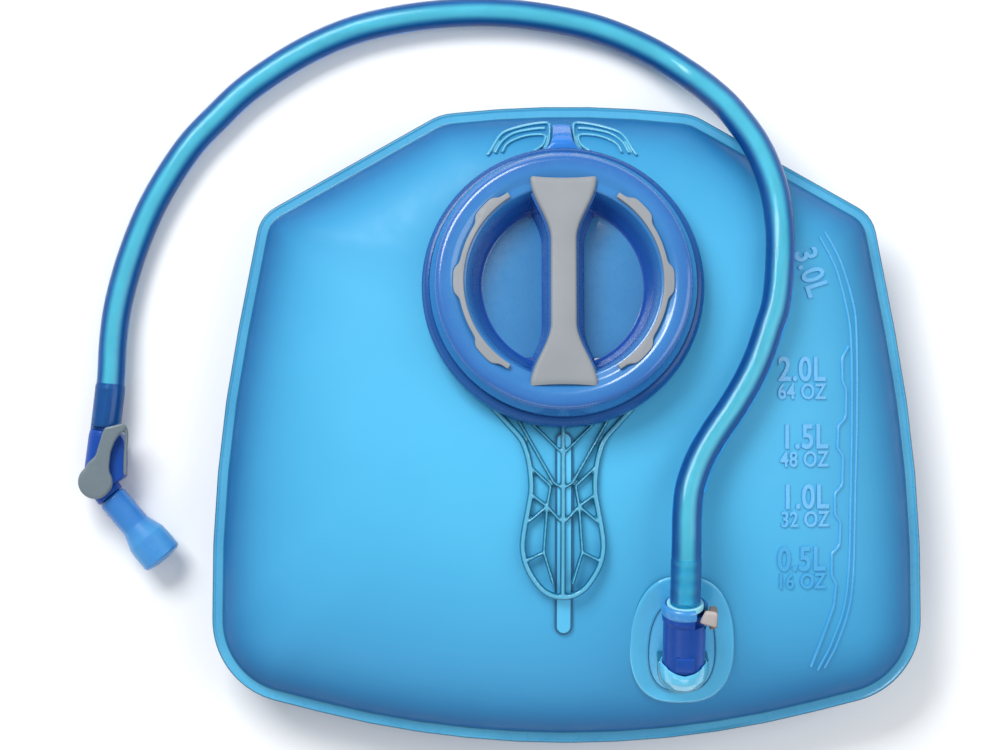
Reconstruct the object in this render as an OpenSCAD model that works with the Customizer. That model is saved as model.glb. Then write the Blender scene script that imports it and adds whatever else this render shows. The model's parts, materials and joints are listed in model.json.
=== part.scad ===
// Hydration bladder lying on its back, filled, with its cap up and its drink hose laid round it.
// +Z is up, +X is to the right and +Y is towards the top edge with the tether.
// The origin is on the floor below the middle of the bladder's outline. Millimetres.

/* [Bladder] */
// Thickness of the film
film_t = 1.2; // [0.8:0.1:1.6]
// Width of the welded edge
weld_w = 4.6; // [4:0.2:6]
// Thickness of the welded edge
weld_t = 2; // [1.6:0.1:2.4]
// Height of the welded edge above the floor
seam_z = 22; // [20:0.5:24]

/* [Fill port and cap] */
// Radius of the port's welded flange
flange_r = 50; // [49:0.5:51]
// Radius of the mouth that a hand or a tap fills
mouth_r = 37.5; // [36:0.1:37.8]
// Outer radius of the neck
neck_r = 41; // [40.5:0.1:41]
// Height of the neck above the film
neck_h = 12; // [10:0.5:12]
// Outer radius of the tether ring
ring_r = 52.3; // [51:0.1:53]
// Outer radius of the cap
cap_r = 49.2; // [48.8:0.1:49.4]
// Height of the cap's rim above the film
cap_h = 20.5; // [20:0.1:22]
// Length of the grip bar
grip_len = 78; // [70:1:80]
// Width of the grip bar at its waist
grip_waist = 9.8; // [8:0.2:12]
// Width of the grip bar at its ends
grip_end = 24.2; // [20:0.2:26]

/* [Fill handle] */
// Width of the handle's rail
rail_w = 2.4; // [2:0.1:3]
// Width of the handle's ribs
rib_w = 1.5; // [1.2:0.1:1.8]
// Thickness of the handle
handle_t = 2.6; // [2:0.1:3]

/* [Hose port] */
// Width of the clear base
base_w = 38.7; // [36:0.1:40]
// Length of the clear base
base_len = 51; // [48:0.5:53]
// Radius of the socket
socket_r = 7.9; // [7.7:0.1:8.1]
// Radius of the socket's collar
collar_r = 8.65; // [8.5:0.05:8.8]
// Travel of the release button
button_travel = 1.3; // [1:0.1:1.3]

/* [Hose and valve] */
// Outer diameter of the hose
hose_d = 11; // [10.5:0.1:11]
// Diameter of the hose's bore
hose_bore = 6.8; // [6.4:0.1:7]
// Radius of the water way through plug and valve
bore_r = 2.2; // [1.8:0.1:2.4]
// Radius of the valve's barrel
barrel_r = 6.2; // [6:0.05:6.3]
// Radius of the lever's disc
lever_disc_r = 6.7; // [6:0.1:7]
// Radius of the bite valve's mouth end
bite_r = 8.2; // [7:0.05:8.3]

/* [Hidden] */
$fn = 72;

// Outline of the bladder, right half from the bottom: corner x, corner y and corner radius
half_outline = [[136, -100, 32], [137, -18, 540], [117.8, 80.6, 14], [48.7, 119.5, 20]];
bottom_corner = [0, -134.7, 385];
top_corner = [0, 124.8, 400];
outline_step = 13;

// Frames of the fill port and of the hose port
port_at = [-2.3, 51, 54];
port_tilt = 8;
hose_exit = [42.5, -64.5, 67];
outlet_tilt = 21;
axis_h = 11;
mouth_y = 20.6;
outlet_at = hose_exit - mouth_y * [0, cos(outlet_tilt), sin(outlet_tilt)]
          - axis_h * [0, -sin(outlet_tilt), cos(outlet_tilt)];

// Baffle between the films
baffle_x = -1.9;
baffle_ends = [-77, -5];
baffle_t = 1;

// Flat patch that the bladder lies on
rest_centre = [0, -6];
rest_share = 0.5;

// Valve at the end of the hose
valve_at = [-182.3, -22.1, 8.6];
inlet_turn = -8;
outlet_turn = -140;
hose_end_y = 20;
barb_len = 17;

// Route of the hose from the socket to the valve
hose_route = [
  hose_exit,
  [42.5, -53.5, 71.2], [42.5, -42, 74.3], [42.7, -31, 74], [44, -21.5, 72], [47.5, -12, 69.5],
  [53, -2.5, 67.5], [60, 7.5, 65.5], [66, 17.5, 63.5], [70.5, 27, 61.5], [74, 37, 60],
  [77, 47, 58.6], [78.7, 63.5, 55.7], [78.7, 77, 51.9], [77, 91, 45.3], [72, 106, 36.5],
  [64, 119.5, 26], [57, 128, 18], [47.5, 136.5, 10.5], [32, 146.5, 6.5], [13.5, 154.3, 5.7],
  [-6, 158.8, 5.6], [-25.5, 161, 5.6], [-45, 160.8, 5.6], [-65, 158.4, 5.6], [-84.5, 153.6, 5.6],
  [-104, 144.8, 5.6], [-123.5, 132, 5.6], [-136, 120.5, 5.6], [-148, 107.5, 5.6], [-160.5, 87.8, 5.6],
  [-169, 68, 5.6], [-174.5, 48.6, 6.4], [-176.6, 33, 7.8], [-177.4, 17, 8.6],
  valve_at + hose_end_y * [-sin(inlet_turn), cos(inlet_turn), 0]
];

// Colours
film_c = [0.36, 0.74, 0.95, 0.7];
clear_c = [0.75, 0.92, 1, 0.6];
cap_c = [0.25, 0.5, 0.8];
dark_c = [0.15, 0.28, 0.62];
grey_c = [0.66, 0.7, 0.73];
hose_c = [0.3, 0.7, 0.88, 0.8];

// ---------- Points ----------

function unit(v) = v / norm(v);
function flip(p) = [-p.x, p.y, p.z];
function cycle(p, i) = p[(i + len(p)) % len(p)];
function reversed(p) = [for (i = [len(p) - 1:-1:0]) p[i]];

// Arc that rounds corner b between its neighbours a and c, moved inwards by d
function corner_arc(a, b, c, d) =
  let (
    to_a = unit([a.x - b.x, a.y - b.y]),
    to_c = unit([c.x - b.x, c.y - b.y]),
    half = acos(to_a * to_c) / 2,
    at = [b.x, b.y],
    centre = at + unit(to_a + to_c) * b.z / sin(half),
    first = at + to_a * b.z / tan(half) - centre,
    last = at + to_c * b.z / tan(half) - centre,
    start = atan2(first.y, first.x),
    sweep = (atan2(last.y, last.x) - start + 540) % 360 - 180,
    n = max(ceil(abs(sweep) * PI / 180 * b.z / outline_step), ceil(abs(sweep) / 15))
  )
  [for (k = [0:n]) centre + (b.z - d) * [cos(start + sweep * k / n), sin(start + sweep * k / n)]];

corners = concat([bottom_corner], half_outline, [top_corner], reversed([for (p = half_outline) flip(p)]));

function rounded(d) =
  [for (i = [0:len(corners) - 1])
    each corner_arc(cycle(corners, i - 1), corners[i], cycle(corners, i + 1), d)];

// The bladder's outline moved inwards by d, with no stretch longer than outline_step
function outline(d) =
  let (whole = rounded(0), p = rounded(d))
  [for (i = [0:len(p) - 1])
    let (
      b = cycle(p, i + 1),
      n = ceil(norm(cycle(whole, i + 1) - whole[i]) / outline_step)
    )
    for (k = [0:n - 1]) p[i] + (b - p[i]) * k / n];

film_edge = outline(weld_w - 0.5);

// ---------- Film surface ----------

port_xy = [port_at.x, port_at.y];

// Height of the port's sloping plane at y
function port_plane(y) = port_at.z - tan(port_tilt) * (y - port_at.y);

// Height of the front film at share u of the way from the port's flange to the welded edge
function front_height(dir, reach, u, edge_z) =
  let (
    start_z = port_plane(port_at.y + flange_r * dir.y),
    p = 1.3 + 0.9 * min(1, reach / 80)
  )
  edge_z + (start_z - edge_z) * pow(1 - pow(u, p), 0.62)
    - tan(port_tilt) * dir.y * reach * u * (1 - u) * (1 - u);

// Distance from the port's axis to the film's edge in one direction
function edge_distance(dir) =
  max([for (i = [0:len(film_edge) - 1])
    let (
      a = film_edge[i] - port_xy,
      e = cycle(film_edge, i + 1) - film_edge[i],
      det = dir.y * e.x - dir.x * e.y,
      along = det == 0 ? -1 : (a.y * e.x - a.x * e.y) / det,
      share = det == 0 ? -1 : (dir.x * a.y - dir.y * a.x) / det
    )
    (share >= 0 && share <= 1) ? along : 0]);

// Height of the front film's outer face over a point between the flange and the edge
function film_z(x, y) =
  let (
    v = [x, y] - port_xy,
    reach = edge_distance(unit(v)) - flange_r
  )
  front_height(unit(v), reach, (norm(v) - flange_r) / reach, seam_z + weld_t / 2 - 0.1);

// One ring of the front film; drop is 0 on the outer face and film_t on the inner face
function front_ring(u, drop) =
  [for (e = film_edge)
    let (
      dir = unit(e - port_xy),
      reach = norm(e - port_xy) - flange_r - drop,
      xy = port_xy + dir * (flange_r + u * reach),
      edge_z = seam_z + (drop > 0 ? 0.1 : weld_t / 2 - 0.1)
    )
    [xy.x, xy.y, front_height(dir, reach, u, edge_z) - drop * (1 - pow(u, 4))]];

// Ring in the port's plane at radius r, lowered by drop
function port_ring(r, drop) =
  [for (e = film_edge)
    let (xy = port_xy + unit(e - port_xy) * r) [xy.x, xy.y, port_plane(xy.y) - drop]];

// One ring of the back film at share v of the way from its flat patch to the welded edge
function back_ring(v, drop) =
  [for (e = film_edge)
    let (
      way = e - rest_centre,
      reach = 1 - drop / norm(way),
      xy = rest_centre + way * reach * (rest_share + (1 - rest_share) * v),
      edge_z = seam_z - (drop > 0 ? 0.1 : weld_t / 2 - 0.1),
      rise = 1 - pow(1 - pow(v, 2.4), 0.6)
    )
    [xy.x, xy.y, drop + (edge_z - drop) * rise]];

// Shares that come closer together towards 1
function shares(n) = [for (j = [0:n]) 1 - pow(1 - j / n, 1.6)];

// ---------- Shapes ----------

// Closed skin over rings of equal length; closed joins the last ring to the first
module skin(rings, closed = false) {
  m = len(rings[0]);
  n = len(rings);
  sides = [for (j = [0:n - (closed ? 1 : 2)], i = [0:m - 1])
    let (
      a = j * m + i,
      b = j * m + (i + 1) % m,
      c = (j + 1) % n * m + (i + 1) % m,
      d = (j + 1) % n * m + i
    )
    each [[a, b, c], [a, c, d]]];
  caps = closed ? [] : [[for (i = [m - 1:-1:0]) i], [for (i = [0:m - 1]) (n - 1) * m + i]];
  polyhedron(points = [for (r = rings) each r], faces = concat(sides, caps), convexity = 8);
}

// Rings of a tube of radius r along a path
function tube_rings(path, r, sides) =
  [for (i = [0:len(path) - 1])
    let (
      t = unit(path[min(i + 1, len(path) - 1)] - path[max(i - 1, 0)]),
      across = unit(cross(t, [0, 0, 1])),
      upright = cross(across, t)
    )
    [for (k = [0:sides - 1]) path[i] + r * (cos(360 * k / sides) * across + sin(360 * k / sides) * upright)]];

// Outline of a line of width w along a path in the plane
function line_sides(path, w, side) =
  [for (i = [0:len(path) - 1])
    let (t = unit(path[min(i + 1, len(path) - 1)] - path[max(i - 1, 0)]))
    path[i] + side * w / 2 * [-t.y, t.x]];

module stroke(path, w) {
  polygon(concat(line_sides(path, w, 1), reversed(line_sides(path, w, -1))));
}

// A curved plate: a line in the Y-Z plane with thickness t, w wide in X
module curved_plate(path, t, w) {
  rotate([90, 0, 90]) linear_extrude(w, center = true) stroke(path, t);
}

module ring(r_out, r_in, z0, z1) {
  difference() {
    translate([0, 0, z0]) cylinder(r = r_out, h = z1 - z0);
    translate([0, 0, z0 - 1]) cylinder(r = r_in, h = z1 - z0 + 2);
  }
}

// Cylinder along +Y from y0 to y1
module rod(r, y0, y1) {
  translate([0, y0, 0]) rotate([-90, 0, 0]) cylinder(r = r, h = y1 - y0);
}

// O-ring of section radius s about +Y
module o_ring(r, s, y) {
  translate([0, y, 0]) rotate([-90, 0, 0]) rotate_extrude() translate([r, 0]) circle(r = s, $fn = 24);
}

// Coil spring about the local Z axis; its wire stays inside the height h
module coil_spring(r, wire, h, turns) {
  steps = 12;
  path = [for (i = [0:turns * steps])
    [r * cos(360 * i / steps), r * sin(360 * i / steps), wire + (h - 2 * wire) * i / (turns * steps)]];
  skin(tube_rings(path, wire, 6));
}

module on_port() {
  translate(port_at) rotate([-port_tilt, 0, 0]) children();
}

module on_outlet() {
  translate(outlet_at) rotate([outlet_tilt, 0, 0]) children();
}

// Along the socket's axis, +Y towards the hose
module on_socket() {
  on_outlet() translate([0, 0, axis_h]) children();
}

module on_inlet() {
  translate(valve_at) rotate([0, 0, inlet_turn]) children();
}

module on_mouthpiece() {
  translate(valve_at) rotate([0, 0, outlet_turn]) children();
}

// ---------- Bladder ----------

water_y = -12;

module front_film() {
  outer = [for (u = shares(9)) front_ring(u, 0)];
  inner = [for (u = shares(9)) front_ring(u, film_t)];
  color(film_c) difference() {
    skin(reversed(concat([port_ring(44, 0)], outer, reversed(inner), [port_ring(44, film_t)])), closed = true);
    on_outlet() translate([0, water_y, -8]) cylinder(r = 5, h = 16);
  }
}

module back_film() {
  outer = [for (v = shares(7)) back_ring(v, 0)];
  inner = [for (v = shares(7)) back_ring(v, film_t)];
  color(film_c) skin(concat(outer, reversed(inner)));
}

module perimeter_weld() {
  color(film_c) translate([0, 0, seam_z - weld_t / 2]) linear_extrude(weld_t) difference() {
    polygon(outline(0));
    polygon(outline(weld_w));
  }
}

module baffle_web() {
  steps = 8;
  y0 = baffle_ends[0];
  y1 = baffle_ends[1];
  top = [for (k = [0:steps]) let (y = y0 + (y1 - y0) * k / steps) [y, film_z(baffle_x, y) - film_t / 2]];
  color(film_c) translate([baffle_x, 0, 0]) rotate([90, 0, 90])
    linear_extrude(baffle_t, center = true) polygon(concat([[y1, film_t / 2], [y0, film_t / 2]], top));
}

// ---------- Fill port ----------

module fill_port() {
  color(clear_c) on_port() {
    ring(flange_r, mouth_r, 0, 1.6);
    ring(neck_r, mouth_r, -film_t, neck_h);
    for (z = [6, 9.2]) ring(neck_r + 1.2, neck_r - 1, z, z + 1.3);
  }
}

// Right half of the handle's rail, from the port down, measured from the handle's middle line
rail_half = [
  [25.8, 7], [20.2, 1], [15.4, -4.6], [13.2, -10.2], [12.1, -16.4], [11.8, -23.4], [13, -31], [14.3, -38],
  [14.9, -44.3], [13.9, -50.2], [11.4, -55.4], [8, -59.9], [4, -62.4], [0, -63]
];
// Ribs of the right half, each a line of points
rib_lines = [
  [[11.6, 1.5], [0.6, -9.3]],
  [[16.5, 2.5], [3.4, -20.6], [0, -22.5]],
  [[11.6, -15], [4.6, -21.7], [5.9, -29.2]],
  [[11.8, -24.8], [5.9, -29.2], [1, -34.5]],
  [[12.6, -34.8], [5.9, -29.2], [7.1, -46.2], [3.6, -58]],
  [[14, -49.6], [7.1, -46.2]]
];
// Course of the handle over the film in Y and Z
handle_course = [[8.5, 60.5], [0, 61.6], [-9, 63.3], [-20, 64.2], [-34, 64], [-48, 62.6], [-65, 59.6]];

module handle_plan() offset(delta = 0.05) {
  stroke(concat(rail_half, reversed([for (k = [0:len(rail_half) - 2]) let (p = rail_half[k]) [-p.x, p.y]])), rail_w);
  stroke([[0, 2.5], [0, -62.5]], rib_w + 0.6);
  for (side = [-1, 1], line = rib_lines) {
    stroke([for (p = line) [side * p.x, p.y]], rib_w);
    translate([side * line[0].x, line[0].y]) circle(r = 0.7 * rib_w, $fn = 8);
  }
}

module fill_handle() {
  color(clear_c) difference() {
    intersection() {
      translate([port_at.x, 0, 50]) linear_extrude(24) handle_plan();
      curved_plate(handle_course, handle_t, 70);
    }
    on_port() translate([0, 0, -6]) cylinder(r = flange_r - 0.6, h = 30);
  }
}

// Course of the wings and the strap over the film above the port, in the port's own Y and Z
wing_course = [[48.5, 0.8], [54, -0.9], [59, -5.5], [66, -14.5]];
strap_course = [[51.9, 7], [55.5, 6.2], [59, 1.5], [63, -6], [68.6, -18.6]];

module wing_plan(side) {
  difference() {
    intersection() {
      circle(r = 65);
      polygon([[side * 5.2, 46], [side * 28, 46], [side * 27, 53], [side * 20, 58.6], [side * 5.2, 66]]);
    }
    polygon([[side * 9, 55], [side * 17, 53.2], [side * 15, 57.4], [side * 9, 60]]);
    polygon([[side * 19, 51.8], [side * 24.5, 49.8], [side * 23, 53], [side * 18.4, 55.6]]);
  }
}

module port_wings() {
  color(clear_c) on_port() difference() {
    intersection() {
      translate([0, 0, -20]) linear_extrude(26) for (side = [-1, 1]) wing_plan(side);
      curved_plate(wing_course, 2.2, 70);
    }
    translate([0, 0, -1]) cylinder(r = flange_r - 0.6, h = 30);
  }
}

module strap_plan() {
  polygon([[-9, 51], [9, 51], [5, 55.5], [4, 59], [4, 63.5], [6.5, 70], [-6.5, 70], [-4, 63.5], [-4, 59], [-5, 55.5]]);
}

module tether_strap() {
  color(cap_c) on_port() difference() {
    intersection() {
      translate([0, 0, -25]) linear_extrude(40) strap_plan();
      curved_plate(strap_course, 2, 40);
    }
    cylinder(r = ring_r + 0.3, h = 30);
  }
}

module tether_ring() {
  color(dark_c) on_port() rotate_extrude() polygon([
    [48.4, 2], [51.2, 2], [ring_r, 3], [ring_r, 8.6], [51.4, 10], [50, 10.6], [48.4, 10.6], [48.4, 9.2],
    [49.8, 9.2], [49.8, 3.6], [48.4, 3.6]
  ]);
}

// ---------- Cap ----------

crown_r = 44;
recess_r = 35.5;
floor_z = 5.2;
grip_z = 17.2;
inlay_r = 38;

function grip_half(y) = (grip_waist + (grip_end - grip_waist) * pow(abs(y) / (grip_len / 2), 2)) / 2;

module grip_plan(extra) {
  steps = 16;
  half_len = grip_len / 2 + extra;
  right = [for (k = [0:steps])
    let (y = -half_len + 2 * half_len * k / steps) [grip_half(y) + extra, y]];
  polygon(concat(right, reversed([for (p = right) [-p.x, p.y]])));
}

inlay_half = 57;
bump_half = 6;

function arc_points(r, a0, a1, n) = [for (k = [0:n]) let (a = a0 + (a1 - a0) * k / n) r * [cos(a), sin(a)]];

// Outer edge of an inlay: raised bumps at its ends and its middle
function inlay_outer() =
  let (low = inlay_r + 0.8, high = inlay_r + 2.7)
  concat(
    arc_points(high, -inlay_half, -inlay_half + 2 * bump_half, 3),
    arc_points(low, -inlay_half + 2 * bump_half + 2, -bump_half - 2, 8),
    arc_points(high, -bump_half, bump_half, 3),
    arc_points(low, bump_half + 2, inlay_half - 2 * bump_half - 2, 8),
    arc_points(high, inlay_half - 2 * bump_half, inlay_half, 3)
  );

module inlay(side) {
  on_port() translate([0, 0, 18.4]) rotate([0, 0, side > 0 ? 0 : 180]) linear_extrude(2.4)
    polygon(concat(inlay_outer(), arc_points(inlay_r - 1.6, inlay_half, -inlay_half, 24)));
}

module cap_profile() {
  arc_steps = 8;
  dome = [for (k = [0:arc_steps])
    let (a = 90 * k / arc_steps) [crown_r + (cap_r - crown_r) * cos(a), 12.5 + (cap_h - 12.5) * sin(a)]];
  polygon(concat(
    [[43.4, 4.6], [cap_r, 4.6], [cap_r, 8.4], [48, 8.4], [48, 11], [cap_r, 11]],
    dome,
    [[39, 19.9], [recess_r, 18.6], [33.6, 12], [33, 7.4], [31.2, floor_z], [0, floor_z], [0, 3],
     [33.6, 3], [36.5, 6.5], [36.5, 14.6], [43.4, 14.6]]
  ));
}

module cap_shell() {
  color(cap_c) difference() {
    on_port() {
      rotate_extrude() cap_profile();
      translate([0, 0, floor_z - 1]) linear_extrude(grip_z - floor_z + 1) intersection() {
        grip_plan(0.8);
        circle(r = 36);
      }
      for (z = [7.5, 10.7]) ring(44.4, 42.7, z, z + 1.3);
    }
    on_port() translate([0, 0, grip_z]) linear_extrude(6) grip_plan(0.05);
    inlay(1);
    inlay(-1);
  }
}

module cap_grip() {
  color(grey_c) on_port() intersection() {
    translate([0, 0, grip_z]) linear_extrude(4) grip_plan(0);
    translate([0, 0, grip_z - 1]) cylinder(r1 = 46, r2 = 38.2, h = 5.2);
  }
}

module cap_inlay_left() {
  color(grey_c) inlay(-1);
}

module cap_inlay_right() {
  color(grey_c) inlay(1);
}

module cap_seal() {
  color(clear_c) on_port() ring(40.8, 38, neck_h + 0.1, 14.6);
}

// ---------- Hose port ----------

function egg(w, l, n) =
  [for (k = [0:n - 1]) let (a = 360 * k / n) [w / 2 * cos(a) * (1 - 0.1 * sin(a)), l / 2 * sin(a)]];

module outlet_base() {
  color(clear_c) on_outlet() difference() {
    union() {
      translate([0, 0, -1]) linear_extrude(2.6) polygon(egg(base_w, base_len, 48));
      translate([0, -2, 1]) linear_extrude(1.25) difference() {
        polygon(egg(26, 39, 40));
        polygon(egg(23.6, 36.6, 40));
      }
    }
    translate([0, water_y, -2]) cylinder(r = 2.6, h = 5);
  }
}

module outlet_boss() {
  color(clear_c) difference() {
    on_outlet() union() {
      translate([0, 0, 1.6]) linear_extrude(9.4) difference() {
        union() {
          translate([0, -8]) circle(r = 10);
          translate([-10, -8]) square([20, 5]);
        }
        translate([-12, -3.4]) square([24, 20]);
      }
    }
    on_socket() {
      rod(socket_r, -10.2, 20);
      rod(3.8, -13.2, -9);
    }
    on_outlet() translate([0, water_y, 0]) cylinder(r = 2.6, h = axis_h);
  }
}

// Inner face of the button and its ends along the socket
button_x = 8.7;
button_y = [11.5, 18.5];

module quick_link_socket() {
  color(dark_c) on_socket() difference() {
    union() {
      rod(socket_r, -10.2, 15);
      rod(collar_r, 14, 19.2);
      rod(collar_r - 0.5, 19, 20);
      rod(3.8, -13.2, -9);
    }
    rod(2.6, -14, 0);
    rod(4.3, -8.4, -0.6);
    rod(5, 0, 18.4);
    rod(7.2, 18.3, 21);
    rod(6.3, 2.1, 3.9);
    translate([0, water_y, -14]) cylinder(r = 2.6, h = 14);
    translate([button_x - button_travel - 0.3, button_y[0] - 0.4, -1.4])
      cube([6, button_y[1] - button_y[0] + 0.8, 7]);
    translate([4, 15.1, -0.9]) cube([6, 2.8, 4.8]);
    translate([5.6, 13.3, 1.6]) rotate([0, 90, 0]) cylinder(r = 1.6, h = 6);
  }
}

module socket_seal() {
  color(grey_c) on_socket() o_ring(5.45, 0.8, 3);
}

module release_button() {
  color(grey_c) on_socket() {
    translate([button_x, button_y[0], -1]) cube([3.6, button_y[1] - button_y[0], 6.2]);
    translate([6.4, 15.4, -0.5]) cube([2.6, 2.2, 4]);
  }
}

module button_spring() {
  color(grey_c) on_socket() translate([5.7, 13.3, 1.6]) rotate([0, 90, 0]) coil_spring(1.1, 0.25, 2.9, 3);
}

module check_poppet() {
  color(clear_c) on_socket() {
    rod(3.7, -4.2, -3);
    rod(1.1, -3.1, 0.3);
  }
}

module poppet_spring() {
  color(grey_c) on_socket() translate([0, -8.3, 0]) rotate([-90, 0, 0]) coil_spring(3, 0.35, 4, 3);
}

// ---------- Hose and its plug ----------

module barbs(y0) {
  step = barb_len / 3;
  rotate([-90, 0, 0]) translate([0, 0, y0]) rotate_extrude() polygon(concat(
    [[0, 0]],
    [for (k = [0:2]) each [[3.9, k * step], [3.1, (k + 1) * step]]],
    [[0, 3 * step]]
  ));
}

module quick_link_plug() {
  color(dark_c) on_socket() difference() {
    union() {
      rod(4.6, 0.5, 18.8);
      rod(6.8, 18.7, mouth_y);
      barbs(mouth_y);
    }
    rod(bore_r, 0, mouth_y + barb_len + 1);
  }
}

module drink_hose() {
  outer = tube_rings(hose_route, hose_d / 2, 10);
  inner = tube_rings(hose_route, hose_bore / 2, 10);
  color(hose_c) skin(concat(outer, reversed(inner)), closed = true);
}

// ---------- Valve ----------

rotor_r = 4;
seal_heights = [-3, 4];
bite_start = 8;
bite_end = 40.3;

// Housing beside the barrel in plan, measured from the pivot
housing = [[-2, -3], [5, -2], [10.6, 1.5], [10.9, 10], [10.7, 16], [9, 18.4], [3, 18.6], [0, 10]];

module valve_body() {
  color(dark_c) difference() {
    union() {
      on_inlet() {
        rod(barrel_r, 0, hose_end_y);
        barbs(hose_end_y);
      }
      on_mouthpiece() {
        rod(5.6, 0, bite_start - 0.3);
        rod(3.6, 0, 20);
      }
      translate(valve_at - [0, 0, barrel_r]) cylinder(r = barrel_r, h = 2 * barrel_r);
      translate(valve_at) linear_extrude(2 * barrel_r - 1.6, center = true) polygon(housing);
    }
    on_inlet() rod(bore_r, 0, hose_end_y + barb_len + 1);
    on_mouthpiece() rod(bore_r, 0, 21);
    translate(valve_at - [0, 0, rotor_r + 0.5]) cylinder(r = rotor_r + 0.05, h = 20);
  }
}

module valve_rotor() {
  color(grey_c) difference() {
    translate(valve_at) rotate_extrude() polygon(concat(
      [[0, -rotor_r], [rotor_r, -rotor_r]],
      [for (z = seal_heights) each [[rotor_r, z - 0.5], [3.4, z - 0.5], [3.4, z + 0.5], [rotor_r, z + 0.5]]],
      [[rotor_r, barrel_r + 1.5], [0, barrel_r + 1.5]]
    ));
    translate(valve_at) linear_extrude(2 * bore_r, center = true) stroke([
      5 * [-sin(inlet_turn), cos(inlet_turn)], [0, 0], 5 * [-sin(outlet_turn), cos(outlet_turn)]
    ], 2 * bore_r);
  }
}

module rotor_seals() {
  color(dark_c) for (z = seal_heights) translate(valve_at + [0, 0, z])
    rotate_extrude() translate([3.73, 0]) circle(r = 0.31, $fn = 24);
}

lever_z = barrel_r + 0.4;
// Arm of the lever in plan and the thin rim beside it, measured from its pivot
lever_arm = [
  [-5, 3.4], [-2.7, 7.4], [0.2, 10], [2.5, 17.7], [3.5, 20.8], [5, 21.8], [7.6, 21.9], [10.4, 22.6],
  [12.2, 22.2], [12.6, 20.8], [11.1, 19.2], [9.6, 18.7], [7.6, 15.6], [6, 11.5], [5.4, 5.9], [5.6, 2]
];
lever_rim = [[11, 21.6], [12, 20.4], [12.1, 16.7], [11.6, 10], [11.5, 2.3]];

module lever_plan() offset(delta = 0.02) {
  circle(r = lever_disc_r);
  polygon(lever_arm);
  stroke(lever_rim, 1.2);
}

module valve_lever() {
  color(grey_c) translate(valve_at + [0, 0, lever_z]) difference() {
    linear_extrude(2.8) lever_plan();
    translate([0, 0, -1]) cylinder(r = rotor_r - 0.01, h = 2.1);
  }
}

module bite_valve() {
  color(hose_c) on_mouthpiece() rotate([-90, 0, 0]) difference() {
    rotate_extrude() polygon([
      [3.65, bite_start], [5.2, bite_start], [5.8, bite_start + 0.8], [5.8, 23], [7.3, 28.5], [bite_r, 30],
      [bite_r, 38.6], [7.6, bite_end - 0.7], [0, bite_end], [0, 36.8], [5.6, 35.6], [5.6, 28.6], [3.65, 23]
    ]);
    translate([-4.5, -0.2, 35]) cube([9, 0.4, 6]);
  }
}

front_film();
back_film();
perimeter_weld();
baffle_web();
fill_port();
fill_handle();
port_wings();
tether_strap();
tether_ring();
cap_shell();
cap_grip();
cap_inlay_left();
cap_inlay_right();
cap_seal();
outlet_base();
outlet_boss();
quick_link_socket();
socket_seal();
release_button();
button_spring();
check_poppet();
poppet_spring();
quick_link_plug();
drink_hose();
valve_body();
valve_rotor();
rotor_seals();
valve_lever();
bite_valve();
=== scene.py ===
"""Hydration bladder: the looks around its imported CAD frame. Metres, +Z up, +Y towards the tether."""

import json
import math

import bmesh
import bpy
import numpy as np
from mathutils import Matrix, Vector, noise


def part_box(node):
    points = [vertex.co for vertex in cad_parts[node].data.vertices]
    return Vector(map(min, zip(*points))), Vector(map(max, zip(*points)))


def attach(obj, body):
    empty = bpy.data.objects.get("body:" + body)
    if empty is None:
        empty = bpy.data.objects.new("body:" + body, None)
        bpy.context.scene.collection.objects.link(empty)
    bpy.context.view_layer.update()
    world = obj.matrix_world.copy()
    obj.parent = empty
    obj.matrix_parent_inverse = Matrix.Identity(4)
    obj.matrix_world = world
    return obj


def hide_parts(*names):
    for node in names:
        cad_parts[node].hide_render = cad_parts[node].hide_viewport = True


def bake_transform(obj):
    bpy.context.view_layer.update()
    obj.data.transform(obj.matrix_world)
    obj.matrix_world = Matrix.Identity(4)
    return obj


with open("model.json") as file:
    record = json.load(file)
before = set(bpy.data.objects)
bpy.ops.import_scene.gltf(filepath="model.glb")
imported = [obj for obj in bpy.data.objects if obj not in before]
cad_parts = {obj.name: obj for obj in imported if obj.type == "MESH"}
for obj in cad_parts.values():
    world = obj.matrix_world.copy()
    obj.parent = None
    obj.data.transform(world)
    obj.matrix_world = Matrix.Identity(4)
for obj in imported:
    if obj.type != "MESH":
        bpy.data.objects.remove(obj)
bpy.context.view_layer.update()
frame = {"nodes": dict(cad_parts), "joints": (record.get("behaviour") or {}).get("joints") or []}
joints = {j["name"]: j for j in frame["joints"]}
MM = 0.001


# ---------- Frames of the fill port, the hose port and the valve ----------

def tilt_of(joint):
    """Angle about X that turns +Y onto the joint's axis."""
    axis = joints[joint]["axis"]
    return math.atan2(axis[2], axis[1])


PORT_AT = Vector(joints["cap_turn"]["pos_m"])
PORT_TILT = math.pi / 2 - tilt_of("cap_turn")
PORT = Matrix.Translation(PORT_AT) @ Matrix.Rotation(-PORT_TILT, 4, "X")

HOSE_EXIT = Vector((0.0425, -0.0645, 0.067))
OUTLET_TILT = tilt_of("hose_pull")
SOCKET_LEN = 0.0206   # from the socket's frame to its mouth
AXIS_H = 0.011        # height of the socket's axis over the clear base
OUTLET_TURN = Matrix.Rotation(OUTLET_TILT, 4, "X")
OUTLET = Matrix.Translation(HOSE_EXIT - OUTLET_TURN @ Vector((0, SOCKET_LEN, AXIS_H))) @ OUTLET_TURN
SOCKET = OUTLET @ Matrix.Translation((0, 0, AXIS_H))

VALVE_AT = Vector(joints["valve_lever_turn"]["pos_m"])
VALVE = Matrix.Translation(VALVE_AT)
INLET = VALVE @ Matrix.Rotation(math.radians(-8), 4, "Z")
MOUTHPIECE = VALVE @ Matrix.Rotation(math.radians(-140), 4, "Z")
ALONG_Y = Matrix.Rotation(math.radians(-90), 4, "X")   # turns a shape made about +Z to lie along +Y

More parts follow.
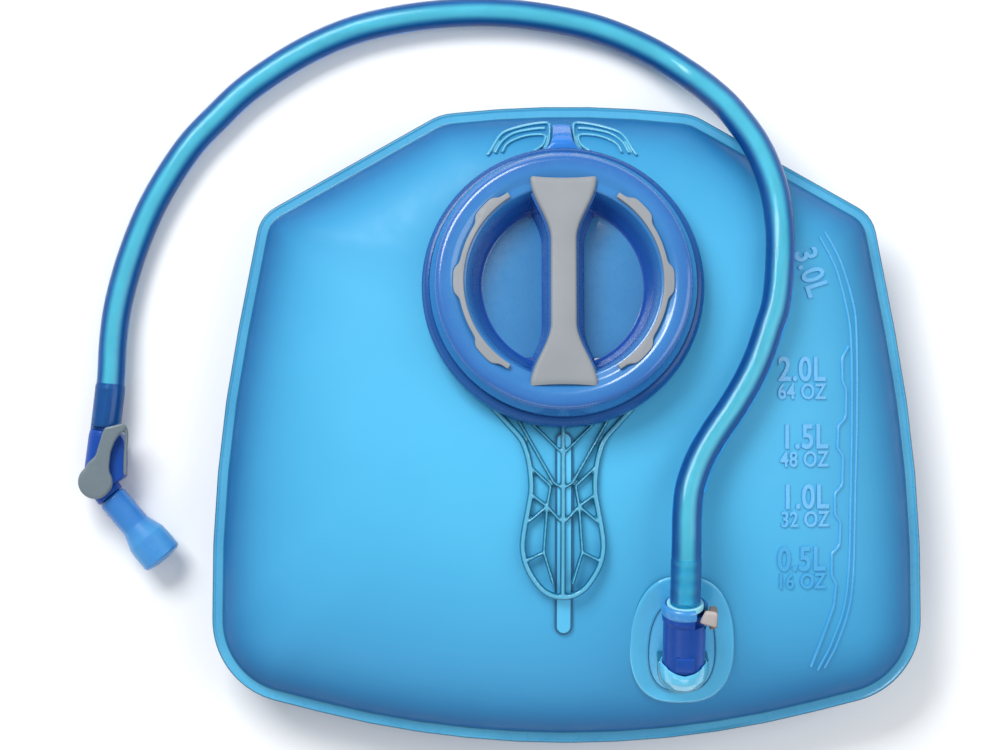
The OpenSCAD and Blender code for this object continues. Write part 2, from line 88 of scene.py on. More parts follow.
SEAM_Z = 0.022        # middle of the welded edge, above the floor
CAMERA_AT = (-0.0256, 0.01925, SEAM_Z + 1.0)
LENS = 93.5           # focal length in millimetres, for a sensor 36 mm wide
LIGHT_TARGET = (0, 0, 0.03)
FLOOR_Z = -0.0002     # just under the film


# ---------- Camera, stage and light ----------

def camera():
    """Straight down, as a product is laid out for a catalogue."""
    data = bpy.data.cameras.new("camera")
    data.sensor_width = 36
    data.lens = LENS
    data.clip_start = 0.05
    cam = bpy.data.objects.new("camera", data)
    cam.location = CAMERA_AT
    bpy.context.collection.objects.link(cam)
    bpy.context.scene.camera = cam


def area_light(name, location, size, power):
    data = bpy.data.lights.new(name, "AREA")
    data.shape = "RECTANGLE"
    data.size, data.size_y = size
    data.energy = power
    lamp = bpy.data.objects.new(name, data)
    lamp.location = location
    lamp.rotation_euler = (Vector(LIGHT_TARGET) - Vector(location)).to_track_quat("-Z", "Y").to_euler()
    bpy.context.collection.objects.link(lamp)


def studio():
    """Three soft lights over a pale floor."""
    world = bpy.data.worlds.new("studio")
    world.use_nodes = True
    shade = world.node_tree.nodes["Background"]
    shade.inputs["Color"].default_value = (0.93, 0.96, 1, 1)
    shade.inputs["Strength"].default_value = 0.5
    bpy.context.scene.world = world
    bpy.context.scene.view_settings.view_transform = "Standard"
    area_light("key", (-0.55, 0.85, 1.0), (0.8, 0.5), 17)
    area_light("fill", (0.9, 0.1, 0.9), (0.7, 1.0), 5)
    area_light("rim", (-0.2, -0.9, 0.5), (1.2, 0.2), 1.6)
    bpy.ops.mesh.primitive_plane_add(size=6, location=(0, 0, FLOOR_Z))
    floor = bpy.context.object
    floor.name = "floor"
    paint = bpy.data.materials.new("floor")
    paint.use_nodes = True
    surface = paint.node_tree.nodes["Principled BSDF"]
    surface.inputs["Base Color"].default_value = (0.93, 0.94, 0.95, 1)
    surface.inputs["Roughness"].default_value = 0.8
    floor.data.materials.append(paint)


camera()
studio()


# ---------- Mesh helpers ----------

def add_mesh(name, verts, faces, matrix=Matrix(), sharp=40):
    """A mesh object with its transform in its vertices and smooth faces, sharp over an angle."""
    mesh = bpy.data.meshes.new(name)
    mesh.from_pydata([tuple(matrix @ Vector(v)) for v in verts], [], [tuple(f) for f in faces])
    mesh.validate()
    piece = bpy.data.objects.new(name, mesh)
    bpy.context.collection.objects.link(piece)
    finish_normals(piece, sharp)
    return piece


def finish_normals(piece, sharp=40):
    """Turns the faces outwards and shades them smooth but for edges over an angle, in degrees."""
    bm = bmesh.new()
    bm.from_mesh(piece.data)
    bmesh.ops.recalc_face_normals(bm, faces=bm.faces)
    for face in bm.faces:
        face.smooth = True
    for edge in bm.edges:
        edge.smooth = not (len(edge.link_faces) == 2 and edge.calc_face_angle(0) > math.radians(sharp))
    bm.to_mesh(piece.data)
    bm.free()


def write_shares(piece, key, values):
    """Gives each vertex a number that materials read by its name."""
    layer = piece.data.attributes.new(key, "FLOAT", "POINT")
    layer.data.foreach_set("value", np.asarray(values, np.float32))


def clamp(value):
    return min(1.0, max(0.0, value))


def apply_modifiers(piece):
    """Replaces the piece's mesh by what its modifiers make."""
    bpy.context.view_layer.update()
    made = piece.evaluated_get(bpy.context.evaluated_depsgraph_get())
    mesh = bpy.data.meshes.new_from_object(made)
    piece.modifiers.clear()
    piece.data = mesh


def join(name, pieces):
    """One object from several, in their order."""
    bm = bmesh.new()
    for piece in pieces:
        bm.from_mesh(piece.data)
        bpy.data.objects.remove(piece)
    mesh = bpy.data.meshes.new(name)
    bm.to_mesh(mesh)
    bm.free()
    whole = bpy.data.objects.new(name, mesh)
    bpy.context.collection.objects.link(whole)
    return whole


def rounded(corners, closed=True, step=12, inset=0.0):
    """Points of a line whose corners [x, y, radius] are rounded; step is the degrees per point."""
    pts = [np.array(c[:2], float) for c in corners]
    n = len(pts)
    out = []
    for i in range(n):
        radius = corners[i][2]
        if (not closed and i in (0, n - 1)) or radius <= 0:
            out.append(pts[i])
            continue
        a = pts[i - 1] - pts[i]
        c = pts[(i + 1) % n] - pts[i]
        a /= np.linalg.norm(a)
        c /= np.linalg.norm(c)
        half = math.acos(np.clip(a @ c, -1, 1)) / 2
        centre = pts[i] + (a + c) / np.linalg.norm(a + c) * radius / math.sin(half)
        first = pts[i] + a * radius / math.tan(half) - centre
        last = pts[i] + c * radius / math.tan(half) - centre
        start = math.atan2(first[1], first[0])
        sweep = (math.atan2(last[1], last[0]) - start + 3 * math.pi) % (2 * math.pi) - math.pi
        count = max(2, math.ceil(abs(math.degrees(sweep)) / step))
        for k in range(count + 1):
            t = start + sweep * k / count
            out.append(centre + (radius - inset) * np.array([math.cos(t), math.sin(t)]))
    return np.array(out)


def resampled(points, step, closed=True):
    """The same line with points an even distance apart."""
    p = np.vstack([points, points[:1]]) if closed else np.asarray(points)
    along = np.concatenate([[0], np.cumsum(np.linalg.norm(np.diff(p, axis=0), axis=1))])
    count = max(3, round(along[-1] / step))
    at = np.linspace(0, along[-1], count, endpoint=False) if closed else np.linspace(0, along[-1], count + 1)
    return np.stack([np.interp(at, along, p[:, k]) for k in range(p.shape[1])], 1)


def grid(rows, cols, wrap_rows=False, wrap_cols=True):
    """Faces between rows of points, each cols long."""
    faces = []
    for r in range(rows if wrap_rows else rows - 1):
        for c in range(cols if wrap_cols else cols - 1):
            a = r * cols + c
            b = r * cols + (c + 1) % cols
            up = (r + 1) % rows * cols
            faces.append((a, b, up + (c + 1) % cols, up + c))
    return faces


def lathe(name, profile, matrix, segments=128, closed=False, sharp=40):
    """Turns a profile of [radius, height] about +Z. An open profile has its ends on the axis."""
    verts = []
    for r, z in profile:
        for k in range(segments):
            t = 2 * math.pi * k / segments
            verts.append((r * math.cos(t), r * math.sin(t), z))
    piece = add_mesh(name, verts, grid(len(profile), segments, wrap_rows=closed), matrix, sharp)
    bm = bmesh.new()
    bm.from_mesh(piece.data)
    bmesh.ops.remove_doubles(bm, verts=bm.verts, dist=1e-6)
    bm.to_mesh(piece.data)
    bm.free()
    finish_normals(piece, sharp)
    return piece


def smooth_path(points, per=6):
    """Catmull-Rom curve through points."""
    p = np.array(points, float)
    p = np.vstack([2 * p[0] - p[1], p, 2 * p[-1] - p[-2]])
    out = []
    for i in range(1, len(p) - 2):
        for k in range(per):
            t = k / per
            a, b, c, d = p[i - 1:i + 3]
            out.append(0.5 * (2 * b + (c - a) * t + (2 * a - 5 * b + 4 * c - d) * t ** 2
                              + (3 * b - a - 3 * c + d) * t ** 3))
    out.append(p[-2])
    return np.array(out)


def section_rings(path, section, scale=None):
    """Rings of a section of [across, up] points carried along a path."""
    path = np.asarray(path, float)
    tangent = np.gradient(path, axis=0)
    tangent /= np.linalg.norm(tangent, axis=1)[:, None]
    across = np.cross(tangent, (0, 0, 1))
    across /= np.linalg.norm(across, axis=1)[:, None]
    upright = np.cross(across, tangent)
    grow = np.ones(len(path)) if scale is None else np.asarray(scale, float)
    rings = []
    for i in range(len(path)):
        rings.append([path[i] + grow[i] * (s[0] * across[i] + s[1] * upright[i]) for s in section])
    return np.array(rings)


def ends(rows, cols):
    """The two flat ends of a stack of rings."""
    return [tuple(range(cols)), tuple(range((rows - 1) * cols, rows * cols))]


def circle(r, n):
    return [(r * math.cos(2 * math.pi * k / n), r * math.sin(2 * math.pi * k / n)) for k in range(n)]


def closed_stack(name, rings, matrix=Matrix(), sharp=50):
    """A solid through rings of points, closed by flat ends."""
    rings = np.asarray(rings)
    rows, cols = rings.shape[:2]
    return add_mesh(name, rings.reshape(-1, 3), grid(rows, cols) + ends(rows, cols), matrix, sharp)


def swept(name, path, section, matrix=Matrix()):
    """A solid of one section along a path."""
    return closed_stack(name, section_rings(path, section), matrix)


def plate(name, outline, z0, z1, matrix, bevel=0.0, segments=3, sharp=40):
    """A flat plate with a bevelled rim."""
    n = len(outline)
    verts = [(p[0], p[1], z0) for p in outline] + [(p[0], p[1], z1) for p in outline]
    faces = [tuple(range(n)), tuple(range(n, 2 * n))]
    faces += [(i, (i + 1) % n, n + (i + 1) % n, n + i) for i in range(n)]
    piece = add_mesh(name, verts, faces, Matrix(), sharp)
    if bevel:
        cut = piece.modifiers.new("bevel", "BEVEL")
        cut.width = bevel
        cut.segments = segments
        cut.limit_method = "ANGLE"
        cut.angle_limit = math.radians(50)
        apply_modifiers(piece)
    piece.data.transform(matrix)
    finish_normals(piece, sharp)
    return piece


def moulded(name, solids, voxel, rounds=4):
    """One smooth moulding from overlapping solids; its steep faces are written as walls, which clear materials
    darken as painted shade.
    """
    piece = join(name, solids)
    remesh = piece.modifiers.new("remesh", "REMESH")
    remesh.mode = "VOXEL"
    remesh.voxel_size = voxel
    soften = piece.modifiers.new("soften", "SMOOTH")
    soften.iterations = rounds
    soften.factor = 0.5
    apply_modifiers(piece)
    finish_normals(piece, 180)
    write_shares(piece, "wall", [clamp((0.88 - abs(v.normal.z)) / 0.3) for v in piece.data.vertices])
    return piece


# ---------- Materials ----------

def socket_name(key):
    return key.replace("_", " ").title().replace("Ior", "IOR")


class Nodes:
    """Short names for building one material's node tree."""

    def __init__(self, name):
        self.material = bpy.data.materials.new(name)
        self.material.use_nodes = True
        self.tree = self.material.node_tree
        self.shader = self.tree.nodes["Principled BSDF"]

    def add(self, kind, **values):
        node = self.tree.nodes.new(kind)
        for key, value in values.items():
            if hasattr(node, key):
                setattr(node, key, value)
            else:
                node.inputs[socket_name(key)].default_value = value
        return node

    def link(self, a, b):
        self.tree.links.new(a, b)

    def set(self, **values):
        for key, value in values.items():
            self.shader.inputs[socket_name(key)].default_value = value

    def noise(self, scale, detail=3.0):
        where = self.add("ShaderNodeTexCoord")
        tex = self.add("ShaderNodeTexNoise", scale=scale, detail=detail)
        self.link(where.outputs["Object"], tex.inputs["Vector"])
        return tex.outputs["Fac"]

    def mix(self, factor, a, b):
        """Colour between a and b; each may be a colour or a socket."""
        node = self.add("ShaderNodeMix", data_type="RGBA")
        for socket, value in ((node.inputs[0], factor), (node.inputs[6], a), (node.inputs[7], b)):
            if hasattr(value, "is_output"):
                self.link(value, socket)
            else:
                socket.default_value = value
        return node.outputs[2]

    def ranged(self, value, low, high, to_low, to_high):
        node = self.add("ShaderNodeMapRange")
        node.inputs["From Min"].default_value = low
        node.inputs["From Max"].default_value = high
        node.inputs["To Min"].default_value = to_low
        node.inputs["To Max"].default_value = to_high
        self.link(value, node.inputs["Value"])
        return node.outputs["Result"]

    def share(self, name):
        """The number that the piece's vertices carry under a name."""
        return self.add("ShaderNodeAttribute", attribute_name=name).outputs["Fac"]

    def drift(self, scale, first, second, low=0.35, detail=3.0):
        """A slow drift between two colours."""
        return self.mix(self.ranged(self.noise(scale, detail), low, 1 - low, 0, 1), rgba(first), rgba(second))

    def colour(self, value):
        self.link(value, self.shader.inputs["Base Color"])

    def gloss(self, scale, low, high):
        """Uneven roughness between two values."""
        self.link(self.ranged(self.noise(scale), 0.3, 0.7, low, high), self.shader.inputs["Roughness"])

    def grain(self, scale, strength, depth, detail=3.0):
        """Fine relief, its depth in metres."""
        node = self.add("ShaderNodeBump", strength=strength, distance=depth)
        self.link(self.noise(scale, detail), node.inputs["Height"])
        self.link(node.outputs["Normal"], self.shader.inputs["Normal"])


def rgba(colour):
    return (*colour, 1)


def dimmed(colour, share):
    return tuple(c * share for c in colour)


def plastic(name, colour, second, rough, grain=900, depth=0.00002, coat=0.0, shine=0.5):
    """Moulded plastic: a slow drift between two colours, a fine moulded grain and uneven gloss."""
    n = Nodes(name)
    n.colour(n.drift(45, colour, second))
    n.gloss(grain * 0.4, rough * 0.8, rough * 1.2)
    n.grain(grain, 0.35, depth)
    n.set(specular_ior_level=shine, ior=1.46, coat_weight=coat, coat_roughness=0.12)
    return n.material


def hose_material():
    """Clear tube: light passes through it and turns blue on the way."""
    n = Nodes("hose_blue")
    colour = (0.92, 0.98, 1.0)
    n.colour(n.mix(n.noise(60), rgba(colour), rgba(dimmed(colour, 0.94))))
    n.gloss(300, 0.07, 0.13)
    n.grain(300, 0.25, 0.00003)
    n.set(transmission_weight=1.0, ior=1.3)
    absorb = n.add("ShaderNodeVolumeAbsorption", density=600)
    absorb.inputs["Color"].default_value = (0.0, 0.79, 0.94, 1)
    n.link(absorb.outputs[0], n.tree.nodes["Material Output"].inputs["Volume"])
    return n.material


def painted_core_material(name, bright, dark):
    """What fills the hose's bore: a pale painted highlight along the middle and blue painted shade along its two
    sides.
    """
    n = Nodes(name)
    # painted highlight down the middle, painted shade along the sides
    n.colour(n.mix(n.share("side"), n.drift(60, bright, dimmed(bright, 0.93), low=0.3), rgba(dark)))
    n.gloss(500, 0.4, 0.55)
    n.grain(500, 0.2, 0.00002)
    n.set(ior=1.45)
    return n.material


def weld_material():
    """Welded edge: a paler flat between two darker beads."""
    n = Nodes("weld")
    flat = n.drift(30, (0.085, 0.440, 0.690), (0.065, 0.370, 0.620))
    n.colour(n.mix(n.share("bead"), flat, rgba((0.006, 0.085, 0.170))))
    n.gloss(300, 0.24, 0.38)
    n.grain(500, 0.3, 0.00003)
    n.set(ior=1.45, coat_weight=0.3, coat_roughness=0.15)
    return n.material


def bite_material():
    """Silicone that is paler where the head is wide and thin."""
    n = Nodes("bite_blue")
    head = n.drift(70, (0.066, 0.320, 0.660), (0.046, 0.250, 0.600))
    n.colour(n.mix(n.share("neck"), head, rgba((0.014, 0.130, 0.460))))
    n.gloss(300, 0.26, 0.4)
    n.grain(700, 0.3, 0.00002)
    n.set(ior=1.43, coat_weight=0.35, coat_roughness=0.12)
    return n.material


def cap_material():
    """Cap: bright on its crown, deeper blue down the walls of its pockets and towards its skirt, where shade is
    painted.
    """
    n = Nodes("cap_blue")
    crown = n.drift(40, (0.034, 0.210, 0.520), (0.027, 0.180, 0.470))
    # painted shade: deeper blue down the pocket walls and towards the skirt
    n.colour(n.mix(n.share("painted_shade"), crown, rgba((0.008, 0.072, 0.350))))
    n.gloss(360, 0.2, 0.3)
    n.grain(260, 0.2, 0.00003)
    n.set(ior=1.46, coat_weight=0.6, coat_roughness=0.1)
    return n.material


def moulding(name, flat, painted_shade, glass):
    """Clear moulding: glassy where it lies flat, darker and closed where its walls turn down; the darker walls are
    painted shade for the dark edges of clear plastic.
    """
    n = Nodes(name)
    wall = n.share("wall")
    # painted shade: steep walls take the dark colour
    n.colour(n.mix(wall, n.drift(70, flat, dimmed(flat, 0.92)), rgba(painted_shade)))
    n.link(n.ranged(wall, 0, 1, glass, 0.05), n.shader.inputs["Transmission Weight"])
    n.gloss(400, 0.07, 0.16)
    n.grain(350, 0.2, 0.00004)
    n.set(ior=1.35, coat_weight=0.8, coat_roughness=0.06)
    return n.material


def film_material():
    """Translucent film: bright where it lies open, deeper blue towards its welds and lower end; the deeper blue is
    painted shade.
    """
    n = Nodes("film")
    open_blue = n.drift(14, (0.086, 0.480, 0.770), (0.076, 0.440, 0.730), low=0.3, detail=2)
    # painted shade: darker towards the lower end, then towards the welds and the upper and left sides
    lower = n.mix(n.share("low"), open_blue, rgba((0.050, 0.270, 0.700)))
    n.colour(n.mix(n.share("edge"), lower, rgba((0.006, 0.112, 0.320))))
    n.gloss(120, 0.36, 0.5)
    n.grain(2200, 0.3, 0.00002, detail=2)
    n.set(ior=1.4, specular_ior_level=0.22)
    return n.material


FILM = film_material()
FILM_EDGE = plastic("film_edge", (0.012, 0.110, 0.230), (0.016, 0.130, 0.260), 0.3, coat=0.3)
WELD = weld_material()
RIM_LINE = plastic("rim_line", (0.050, 0.330, 0.560), (0.045, 0.300, 0.520), 0.22, coat=0.6)
MARK = plastic("mark", (0.060, 0.400, 0.740), (0.055, 0.370, 0.700), 0.3, coat=0.5)
BAFFLE = plastic("baffle", (0.105, 0.560, 0.880), (0.095, 0.520, 0.840), 0.35)
# the second colour of each clear moulding is the painted shade of its steep walls
CLEAR = moulding("clear_moulding", (0.14, 0.62, 0.90), (0.010, 0.140, 0.250), 0.35)
BASE = moulding("clear_base", (0.095, 0.56, 0.92), (0.020, 0.21, 0.36), 0.05)
WING = moulding("clear_wing", (0.240, 0.70, 0.92), (0.080, 0.42, 0.64), 0.2)
POCKET = plastic("pocket", (0.095, 0.540, 0.900), (0.085, 0.500, 0.860), 0.3, coat=0.5)
CAP = cap_material()
RING = plastic("ring_blue", (0.012, 0.095, 0.330), (0.010, 0.080, 0.290), 0.28, coat=0.2, shine=0.2)
STRAP = plastic("strap_blue", (0.020, 0.185, 0.600), (0.018, 0.165, 0.560), 0.28, coat=0.2, shine=0.3)
DISH = plastic("dish_blue", (0.040, 0.235, 0.500), (0.036, 0.215, 0.470), 0.3, coat=0.4)
GRIP = plastic("grip_grey", (0.265, 0.285, 0.305), (0.245, 0.265, 0.285), 0.55, grain=1600, depth=0.00004)
SOCKET_BLUE = plastic("socket_blue", (0.007, 0.060, 0.330), (0.010, 0.075, 0.380), 0.34, coat=0.1, shine=0.2)
COLLAR_BLUE = plastic("collar_blue", (0.045, 0.270, 0.640), (0.038, 0.240, 0.600), 0.24, coat=0.5)
CUP = plastic("cup", (0.120, 0.580, 0.860), (0.100, 0.520, 0.820), 0.14, coat=0.9)
BUTTON = plastic("button_grey", (0.46, 0.41, 0.39), (0.43, 0.38, 0.36), 0.4, grain=1200)
# painted shade and reflection of the button's side face
BUTTON_SIDE_SHADE = plastic("button_side_shade", (0.20, 0.145, 0.105), (0.17, 0.125, 0.09), 0.45, grain=1200)
LEVER = plastic("lever_grey", (0.145, 0.185, 0.210), (0.130, 0.170, 0.195), 0.36, grain=1400, coat=0.2)
SEAL = plastic("seal_silicone", (0.72, 0.78, 0.80), (0.68, 0.74, 0.77), 0.45)
STEEL = plastic("spring_steel", (0.55, 0.55, 0.57), (0.48, 0.48, 0.50), 0.3, grain=2400)
STEEL.node_tree.nodes["Principled BSDF"].inputs["Metallic"].default_value = 1.0
BITE = bite_material()
HOSE = hose_material()
# the hose's core and the barb's core carry a painted highlight and painted side shade
LINER = painted_core_material("hose_liner", (0.90, 1.0, 0.94), (0.11, 0.17, 0.45))
BARB = painted_core_material("barb_blue", (0.34, 0.80, 0.94), (0.06, 0.20, 0.48))
SLEEVE = plastic("sleeve_blue", (0.030, 0.130, 0.400), (0.024, 0.110, 0.370), 0.4)


def dress(piece, material):
    """Gives a piece its one material, in place of those it had."""
    piece.data.materials.clear()
    piece.data.materials.append(material)
    return piece


def place(piece, material, slot, body, *nodes):
    """Gives a piece its material and its body, and hides the CAD nodes that it stands for."""
    dress(piece, material)
    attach(piece, body)
    if nodes:
        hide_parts(*nodes)
    return piece


def place_mixed(piece, materials, pick, body, node):
    """Places a piece of several materials; pick gives the number of each face's own."""
    for material in materials:
        piece.data.materials.append(material)
    for face in piece.data.polygons:
        face.material_index = pick(face.index)
    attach(piece, body)
    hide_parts(node)
    return piece


# ---------- Hose: its route repeats the CAD tube's ----------

HOSE_R = 0.0055
CORE_R = 0.0040
PLUG_REACH = 0.017    # how far the barbs reach into the hose
BARB_PITCH = 0.0052
HOSE_STEP = 0.0013    # length of one ring of faces along the hose
HOSE_SIDES = 40
HOSE_ROUTE = [
    (42.5, -64.5, 67), (42.5, -53.5, 71.2), (42.5, -42, 74.3), (42.7, -31, 74), (44, -21.5, 72),
    (47.5, -12, 69.5), (53, -2.5, 67.5), (60, 7.5, 65.5), (66, 17.5, 63.5), (70.5, 27, 61.5),
    (74, 37, 60), (77, 47, 58.6), (78.7, 63.5, 55.7), (78.7, 77, 51.9), (77, 91, 45.3), (72, 106, 36.5),
    (64, 119.5, 26), (57, 128, 18), (47.5, 136.5, 10.5), (32, 146.5, 6.5), (13.5, 154.3, 5.7),
    (-6, 158.8, 5.6), (-25.5, 161, 5.6), (-45, 160.8, 5.6), (-65, 158.4, 5.6), (-84.5, 153.6, 5.6),
    (-104, 144.8, 5.6), (-123.5, 132, 5.6), (-136, 120.5, 5.6), (-148, 107.5, 5.6),
    (-160.5, 87.8, 5.6), (-169, 68, 5.6), (-174.5, 48.6, 6.4), (-176.6, 33, 7.8), (-177.4, 17, 8.6),
]
hose_end = INLET @ Vector((0, 0.020, 0))
hose_path = smooth_path([Vector(p) * MM for p in HOSE_ROUTE] + [hose_end], 6)


def hose():
    """A clear wall round a core: milky where it is bare, paler over the plug, dark over the valve's barb. The core
    has a painted highlight along its top and bottom and painted shade along its two sides.
    """
    path = resampled(hose_path, HOSE_STEP, closed=False)
    along = np.concatenate([[0], np.cumsum(np.linalg.norm(np.diff(path, axis=0), axis=1))])
    near = along < PLUG_REACH
    far = along > along[-1] - PLUG_REACH
    swell = 1 + 0.035 * near + 0.07 * far
    barbed = 1 + 0.05 * np.sin(along / BARB_PITCH * 2 * math.pi)
    fill = np.where(near, 1.12 * barbed, np.where(far, 1.24, 1.0))
    wall = closed_stack("hose_wall", section_rings(path, circle(HOSE_R, HOSE_SIDES), swell), sharp=60)
    rings = section_rings(path[1:-1], circle(CORE_R, HOSE_SIDES), fill[1:-1])
    core = closed_stack("core", rings, sharp=60)
    wall_faces = len(wall.data.polygons)
    # painted shade along the core's two sides, painted highlight along its top and bottom
    side_shade = np.abs(np.array(circle(1, HOSE_SIDES))[:, 0])
    side_shade = np.clip((side_shade - 0.3) / 0.6, 0, 1)
    side = np.tile(side_shade * side_shade * (3 - 2 * side_shade), len(rings))
    shares = np.concatenate([np.zeros(len(wall.data.vertices)), side])

    def pick(face):
        row = (face - wall_faces) // HOSE_SIDES
        if face < wall_faces:
            return 0
        if row >= len(rings) - 1 or far[row + 2]:
            return 3
        return 2 if near[row + 1] else 1

    whole = join("hose", [wall, core])
    write_shares(whole, "side", shares)
    return place_mixed(whole, (HOSE, LINER, BARB, SLEEVE), pick, "hose", "drink_hose")


tube = hose()


# ---------- Bladder film ----------

WELD_W = 4.6 * MM
WELD_T = 2.0 * MM
FLANGE_R = 50 * MM    # the port's flange, where the film starts
FILM_T = 0.5 * MM
RIGHT_CORNERS = [(136, -100, 32), (137, -18, 540), (117.8, 80.6, 14), (48.7, 119.5, 20)]
LEFT_CORNERS = [(-x, y, r) for x, y, r in reversed(RIGHT_CORNERS)]
CORNERS = [(0, -134.7, 385)] + RIGHT_CORNERS + [(0, 124.8, 400)] + LEFT_CORNERS
port_xy = np.array(PORT_AT[:2])


def outline(inset):
    """The bladder's outline moved inwards, in metres, with points 3 mm apart."""
    return resampled(rounded(CORNERS, step=2, inset=inset / MM) * MM, 3 * MM)


def edge_reach(rim, directions):
    """Distance from the port's axis to the rim along each direction."""
    to_rim = rim - port_xy
    angle = np.unwrap(np.arctan2(to_rim[:, 1], to_rim[:, 0]))
    size = np.linalg.norm(to_rim, axis=1)
    order = np.argsort(angle)
    wanted = np.arctan2(directions[:, 1], directions[:, 0])
    turned = (wanted - angle[order][0]) % (2 * math.pi) + angle[order][0]
    return np.interp(turned, np.append(angle[order], angle[order][0] + 2 * math.pi),
                     np.append(size[order], size[order][0]))


RIM = outline(WELD_W - 0.4 * MM)
TOP_EDGE = SEAM_Z + WELD_T / 2 - 0.1 * MM


def port_plane(y):
    """Height of the tilted port's middle plane at y."""
    return PORT_AT.z - math.tan(PORT_TILT) * (y - PORT_AT.y)


def film_height(xy):
    """Height of the front film's outer face at each [x, y]: the CAD film's own rule."""
    xy = np.atleast_2d(xy)
    v = xy - port_xy
    dist = np.linalg.norm(v, axis=1)
    way = v / np.maximum(dist, 1e-9)[:, None]
    reach = edge_reach(RIM, way) - FLANGE_R
    u = np.clip((dist - FLANGE_R) / reach, 0, 1)
    start = port_plane(PORT_AT.y + FLANGE_R * way[:, 1])
    p = 1.3 + 0.9 * np.minimum(1, reach / (80 * MM))
    z = TOP_EDGE + (start - TOP_EDGE) * (1 - u ** p) ** 0.62
    z -= math.tan(PORT_TILT) * way[:, 1] * reach * u * (1 - u) ** 2
    return np.where(dist < FLANGE_R, port_plane(xy[:, 1]), z)


def ripple(xy, scale, amount):
    return np.array([noise.noise(Vector((p[0] * scale, p[1] * scale, 1.7))) for p in xy]) * amount


def film_surface(xy):
    """Height of the film as it really lies: a slow ripple over its middle and puckers along its weld."""
    xy = np.atleast_2d(xy)
    v = xy - port_xy
    dist = np.linalg.norm(v, axis=1)
    reach = edge_reach(RIM, v / np.maximum(dist, 1e-9)[:, None]) - FLANGE_R
    u = np.clip((dist - FLANGE_R) / reach, 0, 1)
    z = film_height(xy) + ripple(xy, 16, 0.9 * MM) * np.sin(math.pi * u) ** 0.7
    pucker = np.exp(-(1 - u) * reach / (9 * MM)) * np.minimum(1, (1 - u) * 12)
    return z + ripple(xy, 95, 1.3 * MM) * pucker


def weld_distance(xy):
    """Distance from each point to the welded edge."""
    gap = np.linalg.norm(xy[:, None, :] - RIM[None, :, :], axis=2)
    return gap.min(axis=1)


def paint_film_shade(piece):
    """Writes how near each point is to the welds and to the lower end, as painted shade, with more painted shade on
    the upper and left sides.
    """
    co = np.array([v.co for v in piece.data.vertices])
    near = weld_distance(co[:, :2])
    # painted shade: darker near the welds, on the upper and left sides and towards the lower end
    edge = np.exp(-(near / (11 * MM)) ** 1.5) * 0.58 + 0.42 * np.exp(-near / (32 * MM))
    shade = np.clip((co[:, 1] - 0.05) / 0.09, 0, 1) * 0.16 + np.clip((-0.05 - co[:, 0]) / 0.09, 0, 1) * 0.13
    edge = np.minimum(edge + shade * (1 - edge), 1)
    low = np.clip((-0.03 - co[:, 1]) / 0.10, 0, 1) ** 1.3 * 0.42
    write_shares(piece, "edge", edge)
    write_shares(piece, "low", low)


def front_film():
    """Domed front sheet: rings from under the port's flange out to the weld, closed underneath."""
    way = RIM - port_xy
    way /= np.linalg.norm(way, axis=1)[:, None]
    reach = np.linalg.norm(RIM - port_xy, axis=1) - FLANGE_R
    rings = []
    for u in 1 - (1 - np.linspace(0, 1, 56)) ** 1.7:
        xy = port_xy + way * (FLANGE_R + u * reach)[:, None]
        rings.append(np.column_stack([xy, film_surface(xy)]))
    inner = [port_xy + way * r for r in (0.047, 0.044)]
    rings = [np.column_stack([xy, port_plane(xy[:, 1]) - 0.05 * MM]) for xy in reversed(inner)] + rings
    rings += [ring - np.array([0, 0, FILM_T]) for ring in reversed(rings)]
    faces = grid(len(rings), len(RIM), wrap_rows=True)
    piece = add_mesh("film_front", np.concatenate(rings), faces, sharp=60)
    paint_film_shade(piece)
    return piece


def back_film():
    """Back sheet: flat where it lies on the floor, rising to the weld."""
    centre = np.array([0, -6 * MM])
    way = RIM - centre
    outer, inner = [], []
    for v in 1 - (1 - np.linspace(0, 1, 26)) ** 1.6:
        xy = centre + way * (0.5 + 0.5 * v)
        rise = 1 - (1 - v ** 2.4) ** 0.6
        z = (SEAM_Z - 0.9 * MM) * rise + np.maximum(0, ripple(xy, 80, 1.0 * MM)) * np.exp(-(1 - v) * 6) * (1 - v) * 3
        outer.append(np.column_stack([xy, z]))
        inner.append(np.column_stack([xy, z + FILM_T]))
    flat = []
    for share in (0.02, 0.17, 0.34):
        flat.append(np.column_stack([centre + way * share, np.zeros(len(way))]))
    lift = np.array([0, 0, FILM_T])
    rings = flat + outer + inner[::-1] + [ring + lift for ring in reversed(flat)]
    piece = closed_stack("film_back", rings, sharp=60)
    paint_film_shade(piece)
    return piece


def weld_flange():
    """Welded edge: a flat band between two slim beads."""
    section = rounded([
        (-0.15, -0.75, 0.1), (0.4, -1, 0.3), (0.9, -0.5, 0.2), (1.6, -0.5, 0), (3.2, -0.5, 0.3),
        (4.0, -1, 0.35), (4.6, -0.6, 0.4), (4.6, 0.6, 0.4), (4.0, 1, 0.35), (3.2, 0.5, 0.3),
        (1.6, 0.5, 0), (0.9, 0.5, 0.2), (0.4, 1, 0.3), (-0.15, 0.75, 0.1)], step=30)
    base = resampled(rounded(CORNERS, step=3) * MM, 2.5 * MM)
    tangent = np.roll(base, -1, axis=0) - np.roll(base, 1, axis=0)
    tangent /= np.linalg.norm(tangent, axis=1)[:, None]
    out = np.column_stack([tangent[:, 1], -tangent[:, 0]])
    rings = []
    for s in section:
        xy = base + out * (s[0] - WELD_W / MM) * MM
        rings.append(np.column_stack([xy, np.full(len(xy), SEAM_Z + s[1] * MM)]))
    faces = grid(len(rings), len(base), wrap_rows=True)
    flange = add_mesh("weld_flange", np.concatenate(rings), faces, sharp=70)
    write_shares(flange, "bead", np.repeat([weld_share(s[0]) for s in section], len(base)))
    return flange


